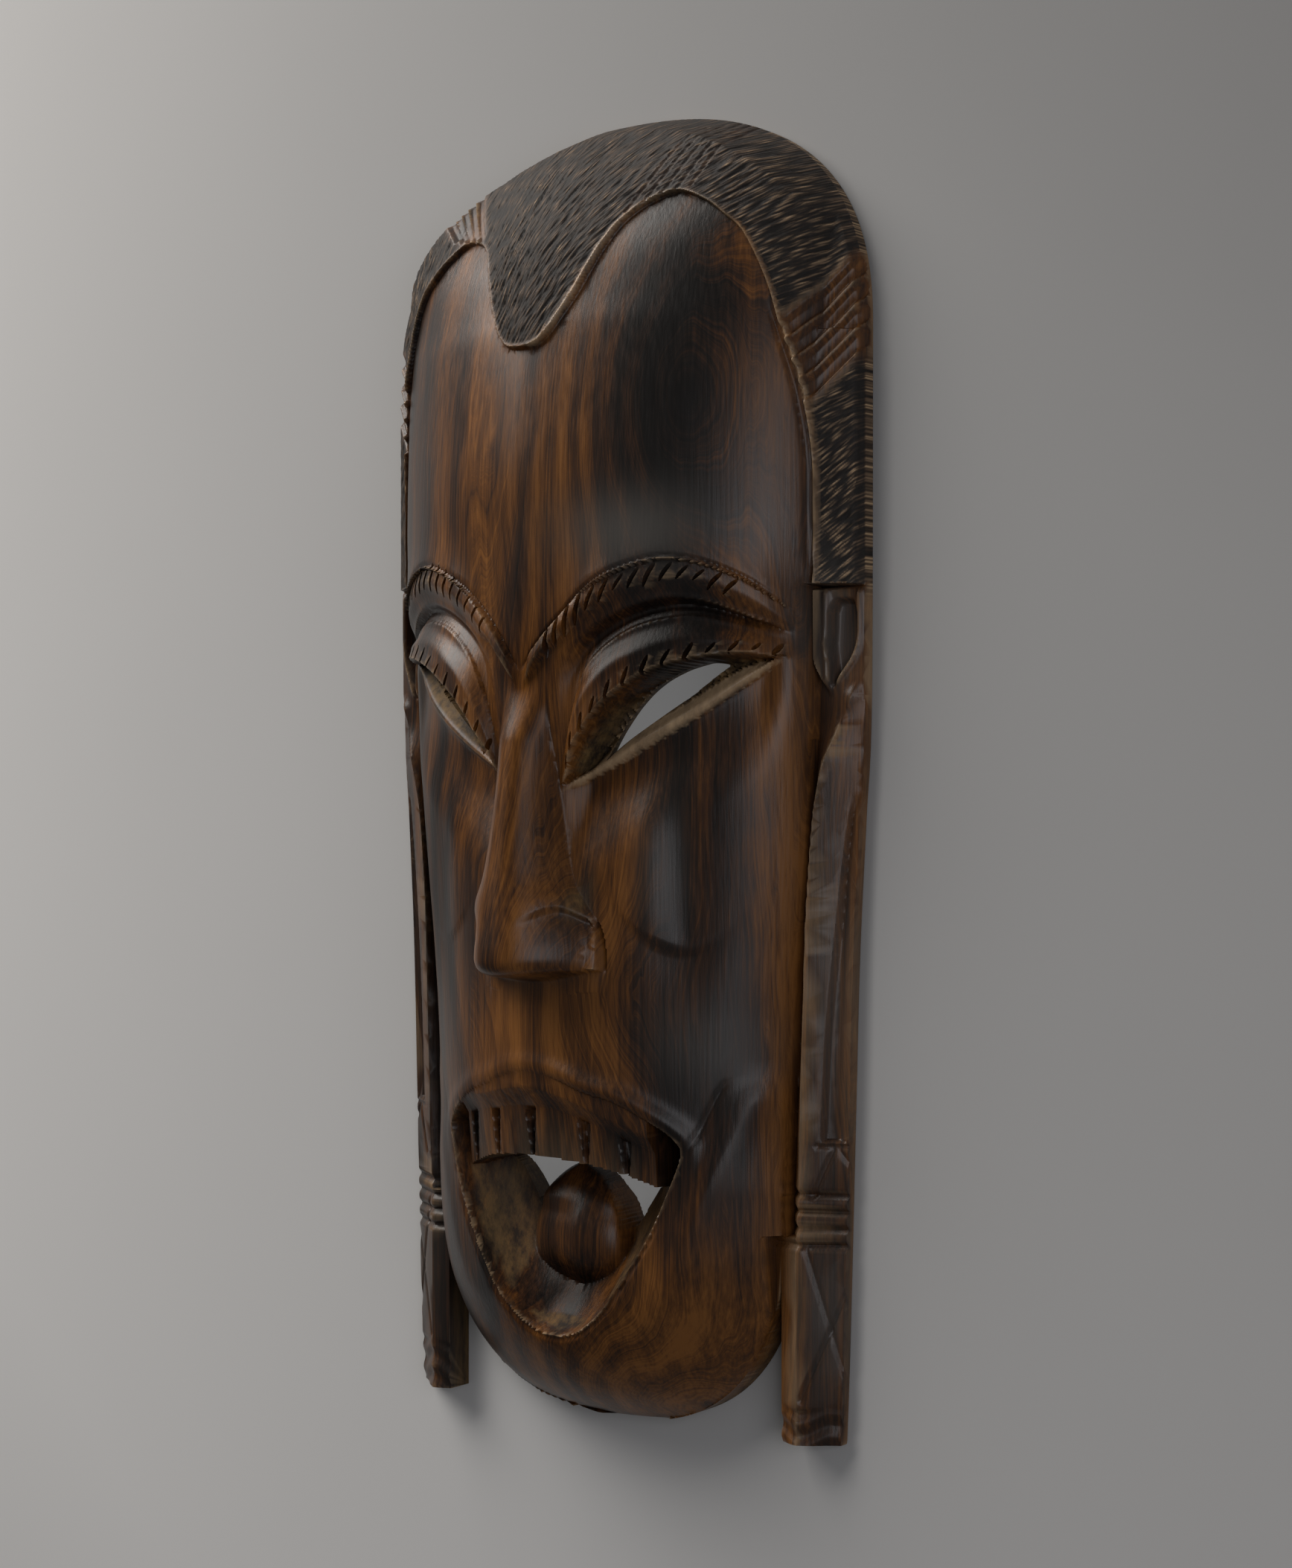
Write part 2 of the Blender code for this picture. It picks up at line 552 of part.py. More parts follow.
def build():
    for old in list(bpy.data.objects):
        bpy.data.objects.remove(old)
    parts = bpy.data.collections.new("tribal_mask")
    cutters = bpy.data.collections.new("cutters")
    for collection in (parts, cutters):
        bpy.context.scene.collection.children.link(collection)
    low = -0.004
    high = DEPTH + 0.03
    block = carved_block("carved_front", front_height, CARVED_STEP, low, parts)
    thinned = block.modifiers.new("fewer_faces", "DECIMATE")
    thinned.ratio = CARVED_FACES / len(block.data.polygons)
    mask = evaluated_copy(block, "mask", parts)
    cut(mask, prism("outline", block_outline(), 0, high, cutters), "INTERSECT")
    cut(mask, prism("chin_gap", gap_outline(), low, high, cutters), "DIFFERENCE")
    cut(mask, carved_block("back_hollow", hollow_height, HOLLOW_STEP, 2 * low, cutters), "DIFFERENCE")
    for side, name in ((1, "right_slit"), (-1, "left_slit")):
        slant = side * SLIT_SLANT
        slit = prism(name, slit_outline(side), low, high, cutters, slant)
        slit.location.x = -slant * SLIT_LEVEL * OUT
        cut(mask, slit, "DIFFERENCE")
    bpy.context.view_layer.update()
    mask = evaluated_copy(mask, "mask", parts)
    mask.data.shade_smooth()
    mask.data.set_sharp_from_angle(angle=np.radians(35))
    mask.data.materials.clear()
    mask.data.materials.append(wood("polished_dark_hardwood", WOOD_COLOUR))


build()
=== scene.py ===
"""The carved hardwood mask, lying face up on a backdrop, seen from the photograph's side."""

import math

import bmesh
import bpy
import numpy as np
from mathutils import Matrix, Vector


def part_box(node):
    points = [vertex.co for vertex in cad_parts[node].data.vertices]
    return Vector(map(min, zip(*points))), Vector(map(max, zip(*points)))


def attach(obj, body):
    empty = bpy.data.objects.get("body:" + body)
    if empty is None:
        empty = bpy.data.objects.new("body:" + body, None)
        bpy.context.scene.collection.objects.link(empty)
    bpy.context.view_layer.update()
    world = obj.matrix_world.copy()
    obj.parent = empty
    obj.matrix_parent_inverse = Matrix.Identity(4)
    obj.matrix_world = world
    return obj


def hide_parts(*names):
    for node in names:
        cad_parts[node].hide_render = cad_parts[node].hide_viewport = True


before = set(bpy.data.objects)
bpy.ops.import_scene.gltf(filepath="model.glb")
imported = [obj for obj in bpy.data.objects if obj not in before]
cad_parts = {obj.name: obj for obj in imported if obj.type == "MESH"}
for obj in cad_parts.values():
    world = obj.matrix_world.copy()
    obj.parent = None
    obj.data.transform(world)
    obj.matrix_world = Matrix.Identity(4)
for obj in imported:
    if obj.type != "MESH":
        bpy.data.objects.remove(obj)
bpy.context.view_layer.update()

mask_low, mask_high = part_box("mask")

# The carving is drawn in millimetres on a form of this size and takes its scale from the frame
DRAWN_HEIGHT = 547.4
DRAWN_WIDTH = 250.0
DRAWN_DEPTH = 89.0
MM = 0.001
UP = (mask_high[1] - mask_low[1]) / DRAWN_HEIGHT
ACROSS = (mask_high[0] - mask_low[0]) / DRAWN_WIDTH
OUT = (mask_high[2] - mask_low[2]) / DRAWN_DEPTH
TOP = DRAWN_HEIGHT / 2
EDGE = 5.0
WALL = 12.0
BACK_RIM = 13.0

# Outline of the block
ARCH_START = 175.0
ARCH_POWER = 2.5
SIDE_LINE = [(-275, 112.5), (-224, 114.5), (-138, 117), (-72, 119), (-18, 122), (30, 124.5), (175, 125)]
SHORT_PENDANT = 6.0
SHOULDER_DROP = 8.0
CHIN_START = -170.0
CHIN_DROP = 101.0
CHIN_POWER = 2.5
PENDANT_INNER = 90.0

# Height of the face along its middle, its half width and how square its section is
CENTRE_LINE = [
    (-271, 9), (-265, 21), (-255, 33), (-240, 45), (-226, 52), (-215, 56), (-195, 59), (-160, 62),
    (-122, 64.5), (-77, 64), (-20, 62.5), (0, 63), (20, 66), (45, 69), (90, 71.5), (120, 72.5),
    (150, 70), (176, 66), (191, 62), (213, 55), (232, 45), (245, 37), (255, 29), (266, 17), (274, 9),
]
FORM_LINE = [(-170, 92.5), (-149, 93.5), (-105, 96), (-83, 98), (-40, 102), (0, 104.5), (40, 106.5),
             (60, 108.5), (80, 112), (100, 114), (120, 114), (160, 114), (275, 114)]
FACE_LINE = [(-170, 92.5), (-149, 93.5), (-105, 96), (-83, 98), (-40, 102), (0, 103.5), (30, 104.5),
             (100, 104.5)]
SQUARENESS = [(-270, 1.6), (-100, 1.6), (-50, 1.65), (0, 1.78), (40, 1.8), (80, 1.62), (275, 1.6)]

# Hair
HAIR_LINE = [
    (-6, 173), (0, 172), (7, 173), (13, 178), (21, 191), (26, 202), (31, 213), (37, 223), (46, 230),
    (57, 233), (69, 228), (78, 221), (86, 213), (94, 196), (100, 176), (106, 152), (109, 128),
    (109.5, 105), (109, 85), (108, 70),
]
HAIR_STEP = 3.2
HAIR_FALL = 0.72
HAIR_RIM = 26.0
HAIR_ROUND = 2.2
# Bundles of long grooves: side, first groove, last groove, how many, how deep, how wide
HAIR_BUNDLES = [
    (1, (101, 173), (126, 203), (104, 146), (130, 178), 4, 2.6, 2.7),
    (-1, (103, 168), (127, 196), (107, 145), (130, 170), 4, 2.2, 2.6),
    (1, (37, 226), (54, 263), (62, 235), (76, 268), 5, 0.7, 0.9),
    (-1, (45, 232), (69, 270), (66, 239), (92, 262), 5, 2.6, 2.3),
]
CREST_BELOW = 190.0
CREST_ABOVE = 76.0
CREST_BEYOND = 60.0
CREST_HIGH = 1.1
CREST_WIDE = 1.0
CREST_GROOVE = 1.0
COMB_LINE = [(-125, 68), (-90, 76), (-60, 84), (-30, 82), (0, 67), (35, 42), (60, 34), (90, 28),
             (106, 26), (125, 30)]
COMB_LOW = 45.0
COMB_ANGLES = [15, 30, 45, 60, 75, 90]
COMB_BLEND = 15.0
STROKE_SPACING = 1.5 * MM
STROKE_LENGTH = 9.0 * MM
STROKE_DEPTH = 0.6 * MM
FINE_SPACING = 1.1 * MM
FINE_LENGTH = 8.0 * MM
STROKE_SEED = 3.7
# How round the strokes' bottoms are, and how far the cells sink for a stroke's depth
STROKE_ROUND = 1.4
STROKE_SINK = 2.4
# No strokes are cut this close to the rim
EDGE_PLAIN = 4.0
EAR_TOP_LEFT = 83.0
EAR_TOP_RIGHT = 74.0

# Brow, eyelid and eye, as heights on the face over the distance from its middle
BROW_LINE = [(-8, 50), (0, 41), (8, 51), (14, 59), (20, 65.5), (30, 74.5), (40, 80.5), (50, 84.5), (60, 87),
             (68, 87), (77, 85), (86, 81), (93, 76.5), (99, 70.5), (106, 63)]
BROW_HIGH = 3.2
BROW_WIDE = 9.0
FOLD_LINE = [(14, 0), (18, 12), (23, 29), (29, 44), (36, 52.5), (44, 58.5), (51, 62), (58, 64), (67, 65.5),
             (75, 65), (86, 62), (99, 58), (108, 56)]
LID_LINE = [(12, -5), (16, -2), (19, 3), (22.5, 11), (28, 18.5), (34, 26), (40, 32), (47, 37), (55, 42),
            (63, 45.5), (70, 47.5), (77, 49), (85, 50), (92, 50), (98, 49), (106, 48)]
SLIT_LINE = [(12, -5), (16, -2), (21, 3), (28, 10), (36, 16), (45, 21.5), (56, 28), (67, 34.5), (77, 41.5),
             (86, 47), (95, 49), (106, 48)]
CHEEK_LINE = [(12, -5), (17, -3), (28, 3), (38, 8), (47, 13), (56, 18), (65, 23.5), (74, 29.5), (83, 36.5),
              (91, 43), (98, 48), (106, 48)]
EYE_START = 14.0
EYE_END = 103.0
ORBIT_DEEP = 5.0
LID_HIGH = 4.5
SLIT_DEEP = 11.0
STRIP_HIGH = 5.5
CHEEK_SUNK = 8.0
CHEEK_REACH = 44.0
SLIT_MIDDLE = 54.5
SLIT_HALF = 29.5
SLIT_OPEN = 13.5
SLIT_SLANT = 0.55
SLIT_LEVEL = 41.0
EYES_DOWN_RIGHT = 3.5
EYES_DOWN_LEFT = 0.5
BROW_GROOVE = 1.1
BROW_FLARE = 4.2
SPLINTER_DEEP = 2.2
CHATTER_DEEP = 0.6

# Nose
NOSE_LINE = [(-88, 62), (-81, 65), (-78.5, 82), (-75, 88), (-69, 89), (-57, 87), (-31, 82.5), (-5, 78.5),
             (17, 75.5), (30, 73.5), (42, 70)]
NOSE_WIDE = [(-88, 35), (-79, 35), (-68, 34.5), (-60, 32), (-50, 25.5), (-40, 20.5),
             (-20, 16.5), (10, 13.5), (28, 12.5), (42, 16)]
NOSE_POWER = 2.2
NOSE_FADE = 30.0
WING_START = -50.0
WING_HIGH = 6.5
WING_SHORT = 8.0
WING_EDGE = 2.2
# The underside is flat from here down
NOSE_FOOT = -80.0
FACET_TOP = -57.0
FACET_DEEP = 6.0
FACET_REACH = 13.0
FACET_PEAK = (21.0, 7.0, 4.5)
TIP_DROP = 3.5
NOSE_CUT = (26.0, -50.0)

# Mouth
LIP_LINE = [
    (-8, -123), (0, -121.5), (8, -122), (18, -125), (26, -128.5), (37, -131.5), (48, -137.5), (57, -144),
    (61.5, -150), (60, -158), (55.5, -170), (49.5, -184), (42, -197), (34, -209), (26, -219), (16, -227),
    (8, -230.5), (0, -231.5), (-8, -230.5),
]
LIP_HIGH = 3.0
LIP_WIDE = 3.8
LIP_BEVEL = 1.2
MOUTH_DEEP = 42.0
MOUTH_SLOPE = 13.0
TEETH_BOTTOM = [(-50, -166.5), (-44, -164), (-27, -159), (0, -157), (27, -159.5), (44, -164.5), (50, -167)]
TEETH_FRONT = [(-50, 42), (-44, 45), (-27, 52), (0, 56), (27, 52), (44, 45), (50, 42)]
TEETH_TOP = [(-50, -144), (-44, -142), (-27, -139), (0, -136), (20, -139.5), (38, -147), (50, -153)]
TEETH_END = 50.0
TEETH_LEAN = 0.10
NOTCH_DEEP = 3.5
NOTCH_HALF = 0.35
NOTCH_WIDENS = 0.12
GUM_SLOPE = 0.65
TOOTH_GAPS = [-44.0, -26.0, -4.0, 22.0, 38.5]
GAP_LINE = [(-46, -162), (-39, -166.5), (-31, -177), (-23, -187), (0, -190), (23, -187), (31, -177),
            (39, -166.5), (46, -162)]
TONGUE_WIDE = [(-224, 25), (-212, 25), (-200, 24.5), (-188, 23), (-178, 19.5), (-171, 14.5), (-166, 9),
               (-163, 3)]
TONGUE_HIGH = [(-224, 18), (-214, 29), (-206, 36), (-198, 39.5), (-188, 39.5), (-178, 36), (-170, 32),
               (-163, 27)]
TONGUE_MIDDLE = -2.0
TONGUE_RIDGE = 4.0
TONGUE_POWER = 2.6
TONGUE_ROUND = 9.0
TONGUE_PLANES = 0.16

# Cheek
HOLLOW_MIDDLE = (62.0, -69.0)
HOLLOW_SIZE = (13.0, 20.0)
HOLLOW_RISE = 0.03
HOLLOW_DEEP = 3.4
PLANE_START = 49.0
PLANE_WIDE = 17.0
PLANE_HIGH = 4.6
PLANE_REACH = 16.0
LEFT_SHARE = 0.25
CREASE_LINE = [(78, -120), (74, -128), (69, -140), (64, -152), (60, -163), (54, -178), (47, -197),
               (40, -214), (28, -234), (10, -256)]
CREASE_HIGH = 5.0
CREASE_RISE = 17.0
CREASE_WIDE = 22.0
CREASE_LEVEL = 12.0
CREASE_CUT = 0.9
CREASE_END = -238.0

# Ear, lobe and pendant
RIDGE_LINE = [(-280, 98), (-185, 98.5), (-163, 99.5), (-138, 100), (-94, 101.5), (-61, 102.5), (-39, 104),
              (-18, 106), (-7, 108), (3, 110.5), (11, 113.5), (21, 117), (31, 121), (44, 124)]
RIDGE_HIGH = 15.0
RIDGE_DROP = 5.0
GROOVE_HIGH = 7.5
PENDANT_EDGE = 13.0
EAR_HIGH = 13.0
EAR_SLOPE = 0.38
EAR_DEEP = 4.5
EAR_LEFT = 106.0
EAR_RIGHT = 121.5
EAR_RING = 6.0
EAR_LIP = 1.3
EAR_TIP = (112.0, 33.0)
SLOT_TOP = -8.0
SLOT_BOTTOM = -147.0
SLOT_INNER = [(-147, 107.5), (-105, 109.5), (-61, 113.5), (-30, 117), (-13, 119.5)]
SLOT_DEEP = 3.0
BAND_TOP_RIGHT = -168.0
BAND_TOP_LEFT = -181.0
BAND_STEP = 6.7
BAND_DEEP = 1.8
BAND_WIDE = 1.4
BANDS = 4
SCORED_LINES = [((101.8, -190), (117, -248)), ((119.5, -196), (99.5, -250)), ((111.5, -150), (104, -169)),
                ((113.5, -150), (119, -158)), ((106, -148.6), (117.5, -148.2))]
SCORE_DEEP = 0.9
SCORE_WIDE = 0.9

# Hollow of the back
UNDER_LINE = [(-215, 12), (-195, 25), (-175, 28), (-160, 33), (-145, 46), (-120, 54), (-77, 57), (0, 55),
              (45, 56), (90, 64), (120, 66), (150, 62), (176, 57), (200, 47), (225, 31), (242, 12)]
HOLLOW_WIDE = [(-215, 40), (-195, 76), (-175, 80), (-149, 82), (-105, 84), (-40, 90), (20, 92), (80, 100),
               (176, 100), (205, 94), (225, 76), (242, 45)]
GOUGE_WIDE = 11.0
GOUGE_LONG = 27.0
GOUGE_DEEP = 1.0

# Fineness of the carved surfaces, in drawn millimetres
SOFT = 1.5
CUT_SPARE = 3.0
GRID_ACROSS = 0.55
GRID_COARSE = 0.8
GRID_FINE = 0.43
FINE_ABOVE = 118.0
HOLLOW_STEP = 3.5
FRONT_TRIANGLES = 170000
# How far the grids run past the outline, and the cutters past the back plane and the front
GRID_SPARE = 3.0
HOLLOW_SPARE = 4.0
BELOW = 4 * MM
ABOVE = 30 * MM
OUTLINE_POINTS = 160

# Nicks cut with a small gouge along the brows and the lids: name, side, line, how far above it,
# first and last place, how many, turn of the first and the last in degrees, length, tilt
NICK_WIDE = 1.9 * MM
NICK_DEEP = 3.0 * MM
NICK_WOBBLE = 0.12
NICK_SIZES = (0.72, 1.1)
NICK_ROWS = [
    ("right_brow_nicks", 1, BROW_LINE, -4.0, 15, 86, 14, 76, 44, 16.0, 0.3),
    ("left_brow_nicks", -1, BROW_LINE, -4.0, 20, 95, 15, 62, 56, 14.0, 0.3),
    ("right_lid_nicks", 1, LID_LINE, 3.0, 20, 98, 13, 80, 56, 9.0, 0.0),
    ("left_lid_nicks", -1, LID_LINE, 3.0, 21, 96, 12, 66, 52, 8.5, 0.0),
]

# Wood figure, for a place on the front: how light the wood is across the face, lighter and darker
# patches (middle, size, how much) and where the rings bulge (middle, size, rings)
TONE_LINE = [(-125, .5), (-100, .42), (-80, .42), (-60, .5), (-40, .6), (-20, .68), (0, .54), (15, .66),
             (33, .66), (43, .52), (55, .42), (72, .4), (86, .64), (98, .7), (110, .58), (125, .58)]
TONE_PATCHES = [
    ((63, 150), (24, 60), -.42), ((64, -226), (30, 34), .45), ((0, -152), (60, 9), -.3),
    ((0, -102), (26, 22), .22), ((66, -125), (26, 24), -.2), ((-50, -220), (30, 40), -.3),
    ((-70, -60), (22, 60), -.2), ((4, 120), (50, 70), .06), ((56, 54), (36, 13), -.28),
    ((0, -214), (30, 14), -.2), ((6, -20), (8, 50), .28), ((-22, -247), (44, 16), .16),
    ((-10, 60), (14, 40), -.1), ((24, -50), (10, 40), -.15), ((40, -50), (12, 70), .2),
    ((98, -200), (14, 60), -.1),
]
RING_BULGES = [
    ((62, 150), (26, 62), 2.6), ((30, -262), (44, 30), 2.2), ((-6, 150), (22, 90), -1.1),
    ((36, -90), (30, 34), 0.8), ((-50, -60), (24, 60), 0.9),
]
RING_WIDE = 25.0
RING_DRIFT = 1.3
# One light and one dark zone for each ring, and fifteen streaks in it
ZONE_SCALE = 0.314
STREAKS_IN_RING = 15.0
# Painted sheen: grey patches laid into the colour where the waxed wood shows a soft reflection
PAINTED_SHEEN_PATCHES = [
    ((50, 97), (30, 15), .7), ((56, -38), (9, 28), .35), ((72, -108), (20, 16), .3),
    ((-76, -120), (16, 26), .3), ((-92, 60), (14, 40), .35), ((96, 120), (9, 40), .25),
    ((112, -80), (9, 70), .45), ((110, -215), (10, 30), .4), ((113, 55), (10, 24), .5),
    ((-108, -215), (12, 40), .4),
]
# Where the wood was never waxed and stays dull, taken off the shine
DULL_PATCHES = [
    ((-92, -40), (16, 80), .9), ((-74, -60), (14, 60), .7), ((0, 38), (12, 26), .8),
    ((-22, -247), (50, 20), .8), ((4, -20), (10, 50), .6), ((50, 50), (34, 16), .7),
    ((0, -218), (40, 16), .8), ((-10, 150), (34, 60), .5), ((36, -16), (18, 22), .8),
    ((-44, -14), (22, 24), .8), ((90, -60), (10, 80), .4),
]
# Shine and roughness of waxed wood, and what dull wood, cuts and pores add to or take from them
SHINE = 0.38
SHINE_LOST = 0.3
ROUGH_WAXED = 0.28
ROUGH_CUTS = 0.36
ROUGH_PORES = 0.16

# How pale the crests are painted along the hairline, the ridge of the lobe and in the hair, as rubbed wood
# and painted highlight
RUBBED_AND_HIGHLIGHT_HAIRLINE = 0.9
RUBBED_AND_HIGHLIGHT_RIDGE = 0.5
RUBBED_AND_HIGHLIGHT_HAIR = 0.8
RUBBED_AND_HIGHLIGHT_BEYOND = 70.0
# Bends sharper than this are painted pale as wear and painted highlight, and how fast, inside the mouth and
# on the lobes less
WEAR_AND_HIGHLIGHT_START = 0.09
WEAR_AND_HIGHLIGHT_GAIN = 5.0
WEAR_AND_HIGHLIGHT_IN_MOUTH = 0.15
WEAR_AND_HIGHLIGHT_ON_LOBES = 0.35
LOBE_BEYOND = 99.0
LOBE_BELOW = 28.0
SUNK_GAIN = 2.2
# What the carving writes on the surface for the wood to read, and its values on the back
ON_THE_BACK = {"hair": 0, "wear_and_highlight": 0, "painted_sheen": 0, "dull": 0.5, "painted_recess_shade": 0, "raw": 0.85}
WRITTEN = ("hair", "wear_and_highlight", "painted_recess_shade", "raw", "rings", "tone", "sunk", "comb", "painted_sheen", "dull")
# Colours of the wood, from dark to light, and in the hair from its tops, worn and in painted highlight, to
# its grooves, dusty and in painted shade
HEARTWOOD_COLOURS = [(0.0, "#0d0907"), (0.22, "#1a110c"), (0.45, "#352012"), (0.7, "#5c3817"),
                     (0.95, "#7c4f22")]
HAIR_WEAR_DUST_AND_PAINTED_LIGHT_COLOURS = [(0.12, "#ad9270"), (0.3, "#614e3d"), (0.55, "#35291f"), (0.85, "#17120f")]
BARE_COLOURS = [(0.38, "#2a2016"), (0.6, "#745a35")]
# Painted shade for the recesses
PAINTED_SHADE_COLOUR = "#120d0a"
# Painted sheen, a grey reflection laid into the colour
PAINTED_SHEEN_COLOUR = "#56534f"
# Pale of rubbed wood, which also stands for painted highlight
RUBBED_AND_HIGHLIGHT_COLOUR = "#b39877"
BACKDROP_FALLOFF_COLOURS = [(0.0, "#d7d7d7"), (1.0, "#797979")]
WALLS_COLOUR = "#d8d8d8"

# Patterns of the wood: the slow wander of the rings for each metre, then real widths
WANDER = (26.0, 4.0, 26.0)
PORE = 1.2 * MM
FIBRE = 6.0 * MM
MOTTLE = 30.0 * MM
# How much each pattern adds to the tone of the wood
ZONES_SHARE = 0.24
STREAKS_SHARE = 1.0
FIBRES_SHARE = 0.85
PORES_SHARE = 0.5
MOTTLE_SHARE = 0.7
TONE_MIDDLE = 1.66

# Painted light falloff: how fast the backdrop's paint darkens to the right and up, for each metre
SHADE_TOWARDS = (0.7, 0.76, 0.0)
SHADE_START = 0.47
FLOOR_HALF = 3.0
FLOOR_BELOW = 0.5 * MM

# Lights: name, place in metres, size, watts, tint
LIGHTS = [
    ("left_window", (-1.05, 1.4, 0.78), 1.5, 46.0, "#fffaf4"),
    ("right_fill", (1.25, 0.05, 0.95), 0.8, 5.0, "#fbfaff"),
    ("light_behind", (0.0, -0.06, 0.008), 0.13, 0.034, "#ffffff"),
]
BEHIND_LONG = 0.3
WALLS_GLOW = 0.15

# Camera
CAMERA_TURN = math.radians(38)
CAMERA_AWAY = 1.05
CAMERA_AIM = (0.011, -0.0046)
CAMERA_LENS = 56.87
SENSOR_WIDE = 36.0


def spline(points, steps=10):
    """A smooth curve through the points, as many short straight pieces."""
    p = np.array(points, float)
    p = np.vstack([2 * p[0] - p[1], p, 2 * p[-1] - p[-2]])
    t = np.linspace(0, 1, steps, endpoint=False)[:, None]
    pieces = []
    for a, b, c, d in zip(p, p[1:], p[2:], p[3:]):
        bend = (2 * a - 5 * b + 4 * c - d) * t**2 + (3 * b - a - 3 * c + d) * t**3
        pieces.append(0.5 * (2 * b + (c - a) * t + bend))
    return np.vstack(pieces + [p[-2:-1]])


def level(at, points):
    """The value of a smooth profile at each place."""
    curve = spline(points)
    return np.interp(at, curve[:, 0], curve[:, 1])


def ease(t):
    """A soft step from 0 to 1."""
    t = np.clip(t, 0, 1)
    return t * t * (3 - 2 * t)


def hump(distance, width):
    """A soft rounded bump, 1 in the middle."""
    return np.exp(-((distance / width) ** 2))


def from_line(x, y, start, end):
    """Distance to a straight line between two points, and on which side of it."""
    (ax, ay), (bx, by) = start, end
    ex, ey = bx - ax, by - ay
    t = np.clip(((x - ax) * ex + (y - ay) * ey) / (ex * ex + ey * ey), 0, 1)
    dx, dy = x - ax - t * ex, y - ay - t * ey
    return np.hypot(dx, dy), np.sign(ex * dy - ey * dx)


def beside(x, y, points):
    """Distance to a curve, positive to the left of its direction."""
    curve = spline(points, 6)
    best = np.full(x.shape, 1e9)
    side = np.ones(x.shape)
    for start, end in zip(curve, curve[1:]):
        distance, hand = from_line(x, y, start, end)
        near = distance < best
        best = np.where(near, distance, best)
        side = np.where(near, hand, side)
    return best * side


def between(y, lines, offsets):
    """Eased heights between lines that lie one under another, from the top one down."""
    height = np.full(y.shape, offsets[0], float)
    for upper, lower, start, end in zip(lines, lines[1:], offsets, offsets[1:]):
        share = ease((upper - y) / np.maximum(upper - lower, 0.3))
        height = np.where(y < upper, start + (end - start) * share, height)
    return height


def side_width(y):
    """Half width of the whole block."""
    straight = level(y, SIDE_LINE)
    rise = np.clip((y - ARCH_START) / (TOP - ARCH_START), 0, 1)
    return straight * (1 - rise**ARCH_POWER) ** (1 / ARCH_POWER)


def chin_width(y):
    """Half width of the chin below the place where it comes free of the bands."""
    drop = np.clip((CHIN_START - y) / CHIN_DROP, 0, 1)
    return FACE_LINE[0][1] * (1 - drop**CHIN_POWER) ** (1 / CHIN_POWER)


def face_width(y):
    """Half width of the face up to the groove that parts it from the ear and the lobe."""
    return np.where(y < CHIN_START, chin_width(y), level(y, FACE_LINE))


def form_width(y):
    """Half width of the domed form, which runs a little past the cut edge of the chin."""
    drop = np.clip((CHIN_START - y) / (CHIN_DROP + CUT_SPARE), 0, 1)
    chin = (FACE_LINE[0][1] + CUT_SPARE) * (1 - drop**CHIN_POWER) ** (1 / CHIN_POWER)
    sides = level(y, FORM_LINE) + CUT_SPARE * ease((CHIN_START + 30 - y) / 30)
    return np.where(y < CHIN_START, chin, sides)


def dome(x, y):
    """The smooth form of the face before its features are cut."""
    t = np.clip(np.abs(x) / np.maximum(form_width(y), 0.1), 0, 1)
    power = level(y, SQUARENESS)
    return EDGE + (level(y, CENTRE_LINE) - EDGE) * (1 - t**power) ** (1 / power)


def edge_distance(x, y):
    """Roughly how far a place lies inside the arched outline."""
    inside = side_width(y) - np.abs(x)
    rise = np.clip(y - ARCH_START, 0, None) / (TOP - ARCH_START)
    spread = np.abs(x) / level(y, SIDE_LINE)
    shape = (rise**ARCH_POWER + spread**ARCH_POWER) ** (1 / ARCH_POWER)
    return np.where(rise > 0, (1 - shape) * (TOP - ARCH_START) * 0.98, inside)


def bundle(x, y, side, first_start, first_end, last_start, last_end, count, wide):
    """A bundle of straight flat-bottomed grooves that fans out between a first and a last one."""
    cut = np.zeros(x.shape)
    for share in np.linspace(0, 1, count):
        start = np.array(first_start) + share * (np.array(last_start) - first_start)
        end = np.array(first_end) + share * (np.array(last_end) - first_end)
        distance, _ = from_line(side * x, y, start, end)
        cut = np.maximum(cut, ease(1.6 - distance / (0.75 * wide)))
    return cut


def all_bundles(x, y):
    """How deep the long grooves of the hair are cut, and how much of the place they cover."""
    deep = np.zeros(x.shape)
    covered = np.zeros(x.shape)
    for side, first_start, first_end, last_start, last_end, count, groove_deep, wide in HAIR_BUNDLES:
        lines = (first_start, first_end, last_start, last_end)
        deep = np.maximum(deep, groove_deep * bundle(x, y, side, *lines, count, wide))
        around = bundle(x, y, side, *lines, count, 2.0 * wide)
        covered = np.maximum(covered, around * ease(groove_deep / 2))
    return deep, covered


def hair(x, y, ground, inward):
    """The hair field, a step above the forehead, which falls towards the rim."""
    inside = np.clip(edge_distance(x, y), 0, None)
    skirt = EDGE + HAIR_FALL * np.minimum(inside, HAIR_RIM)
    field = np.maximum(ground, skirt) + HAIR_STEP
    field = np.minimum(field, EDGE + HAIR_ROUND * inside)
    field = field - all_bundles(x, y)[0]
    share = ease(inward / SOFT + 0.5)
    crested = ease((CREST_BELOW - y) / 16) * ease((np.abs(x) - CREST_BEYOND) / 20)
    crested = crested * ease((y - CREST_ABOVE) / 14)
    crest = CREST_HIGH * hump(inward - 0.6, CREST_WIDE) - CREST_GROOVE * hump(inward + 2.4, 0.8)
    return ground + (field - ground) * share + crest * crested


def slit_top(a):
    """The upper edge of the opening of the eye."""
    share = np.clip(1 - ((a - SLIT_MIDDLE) / SLIT_HALF) ** 2, 0, 1)
    return np.minimum(level(a, SLIT_LINE) + SLIT_OPEN * share, level(a, LID_LINE) - 1.5)


def eyes_down(x):
    """How far each eye lies below its drawn lines."""
    return np.where(x > 0, EYES_DOWN_RIGHT, EYES_DOWN_LEFT) * ease(np.abs(x) / 20)


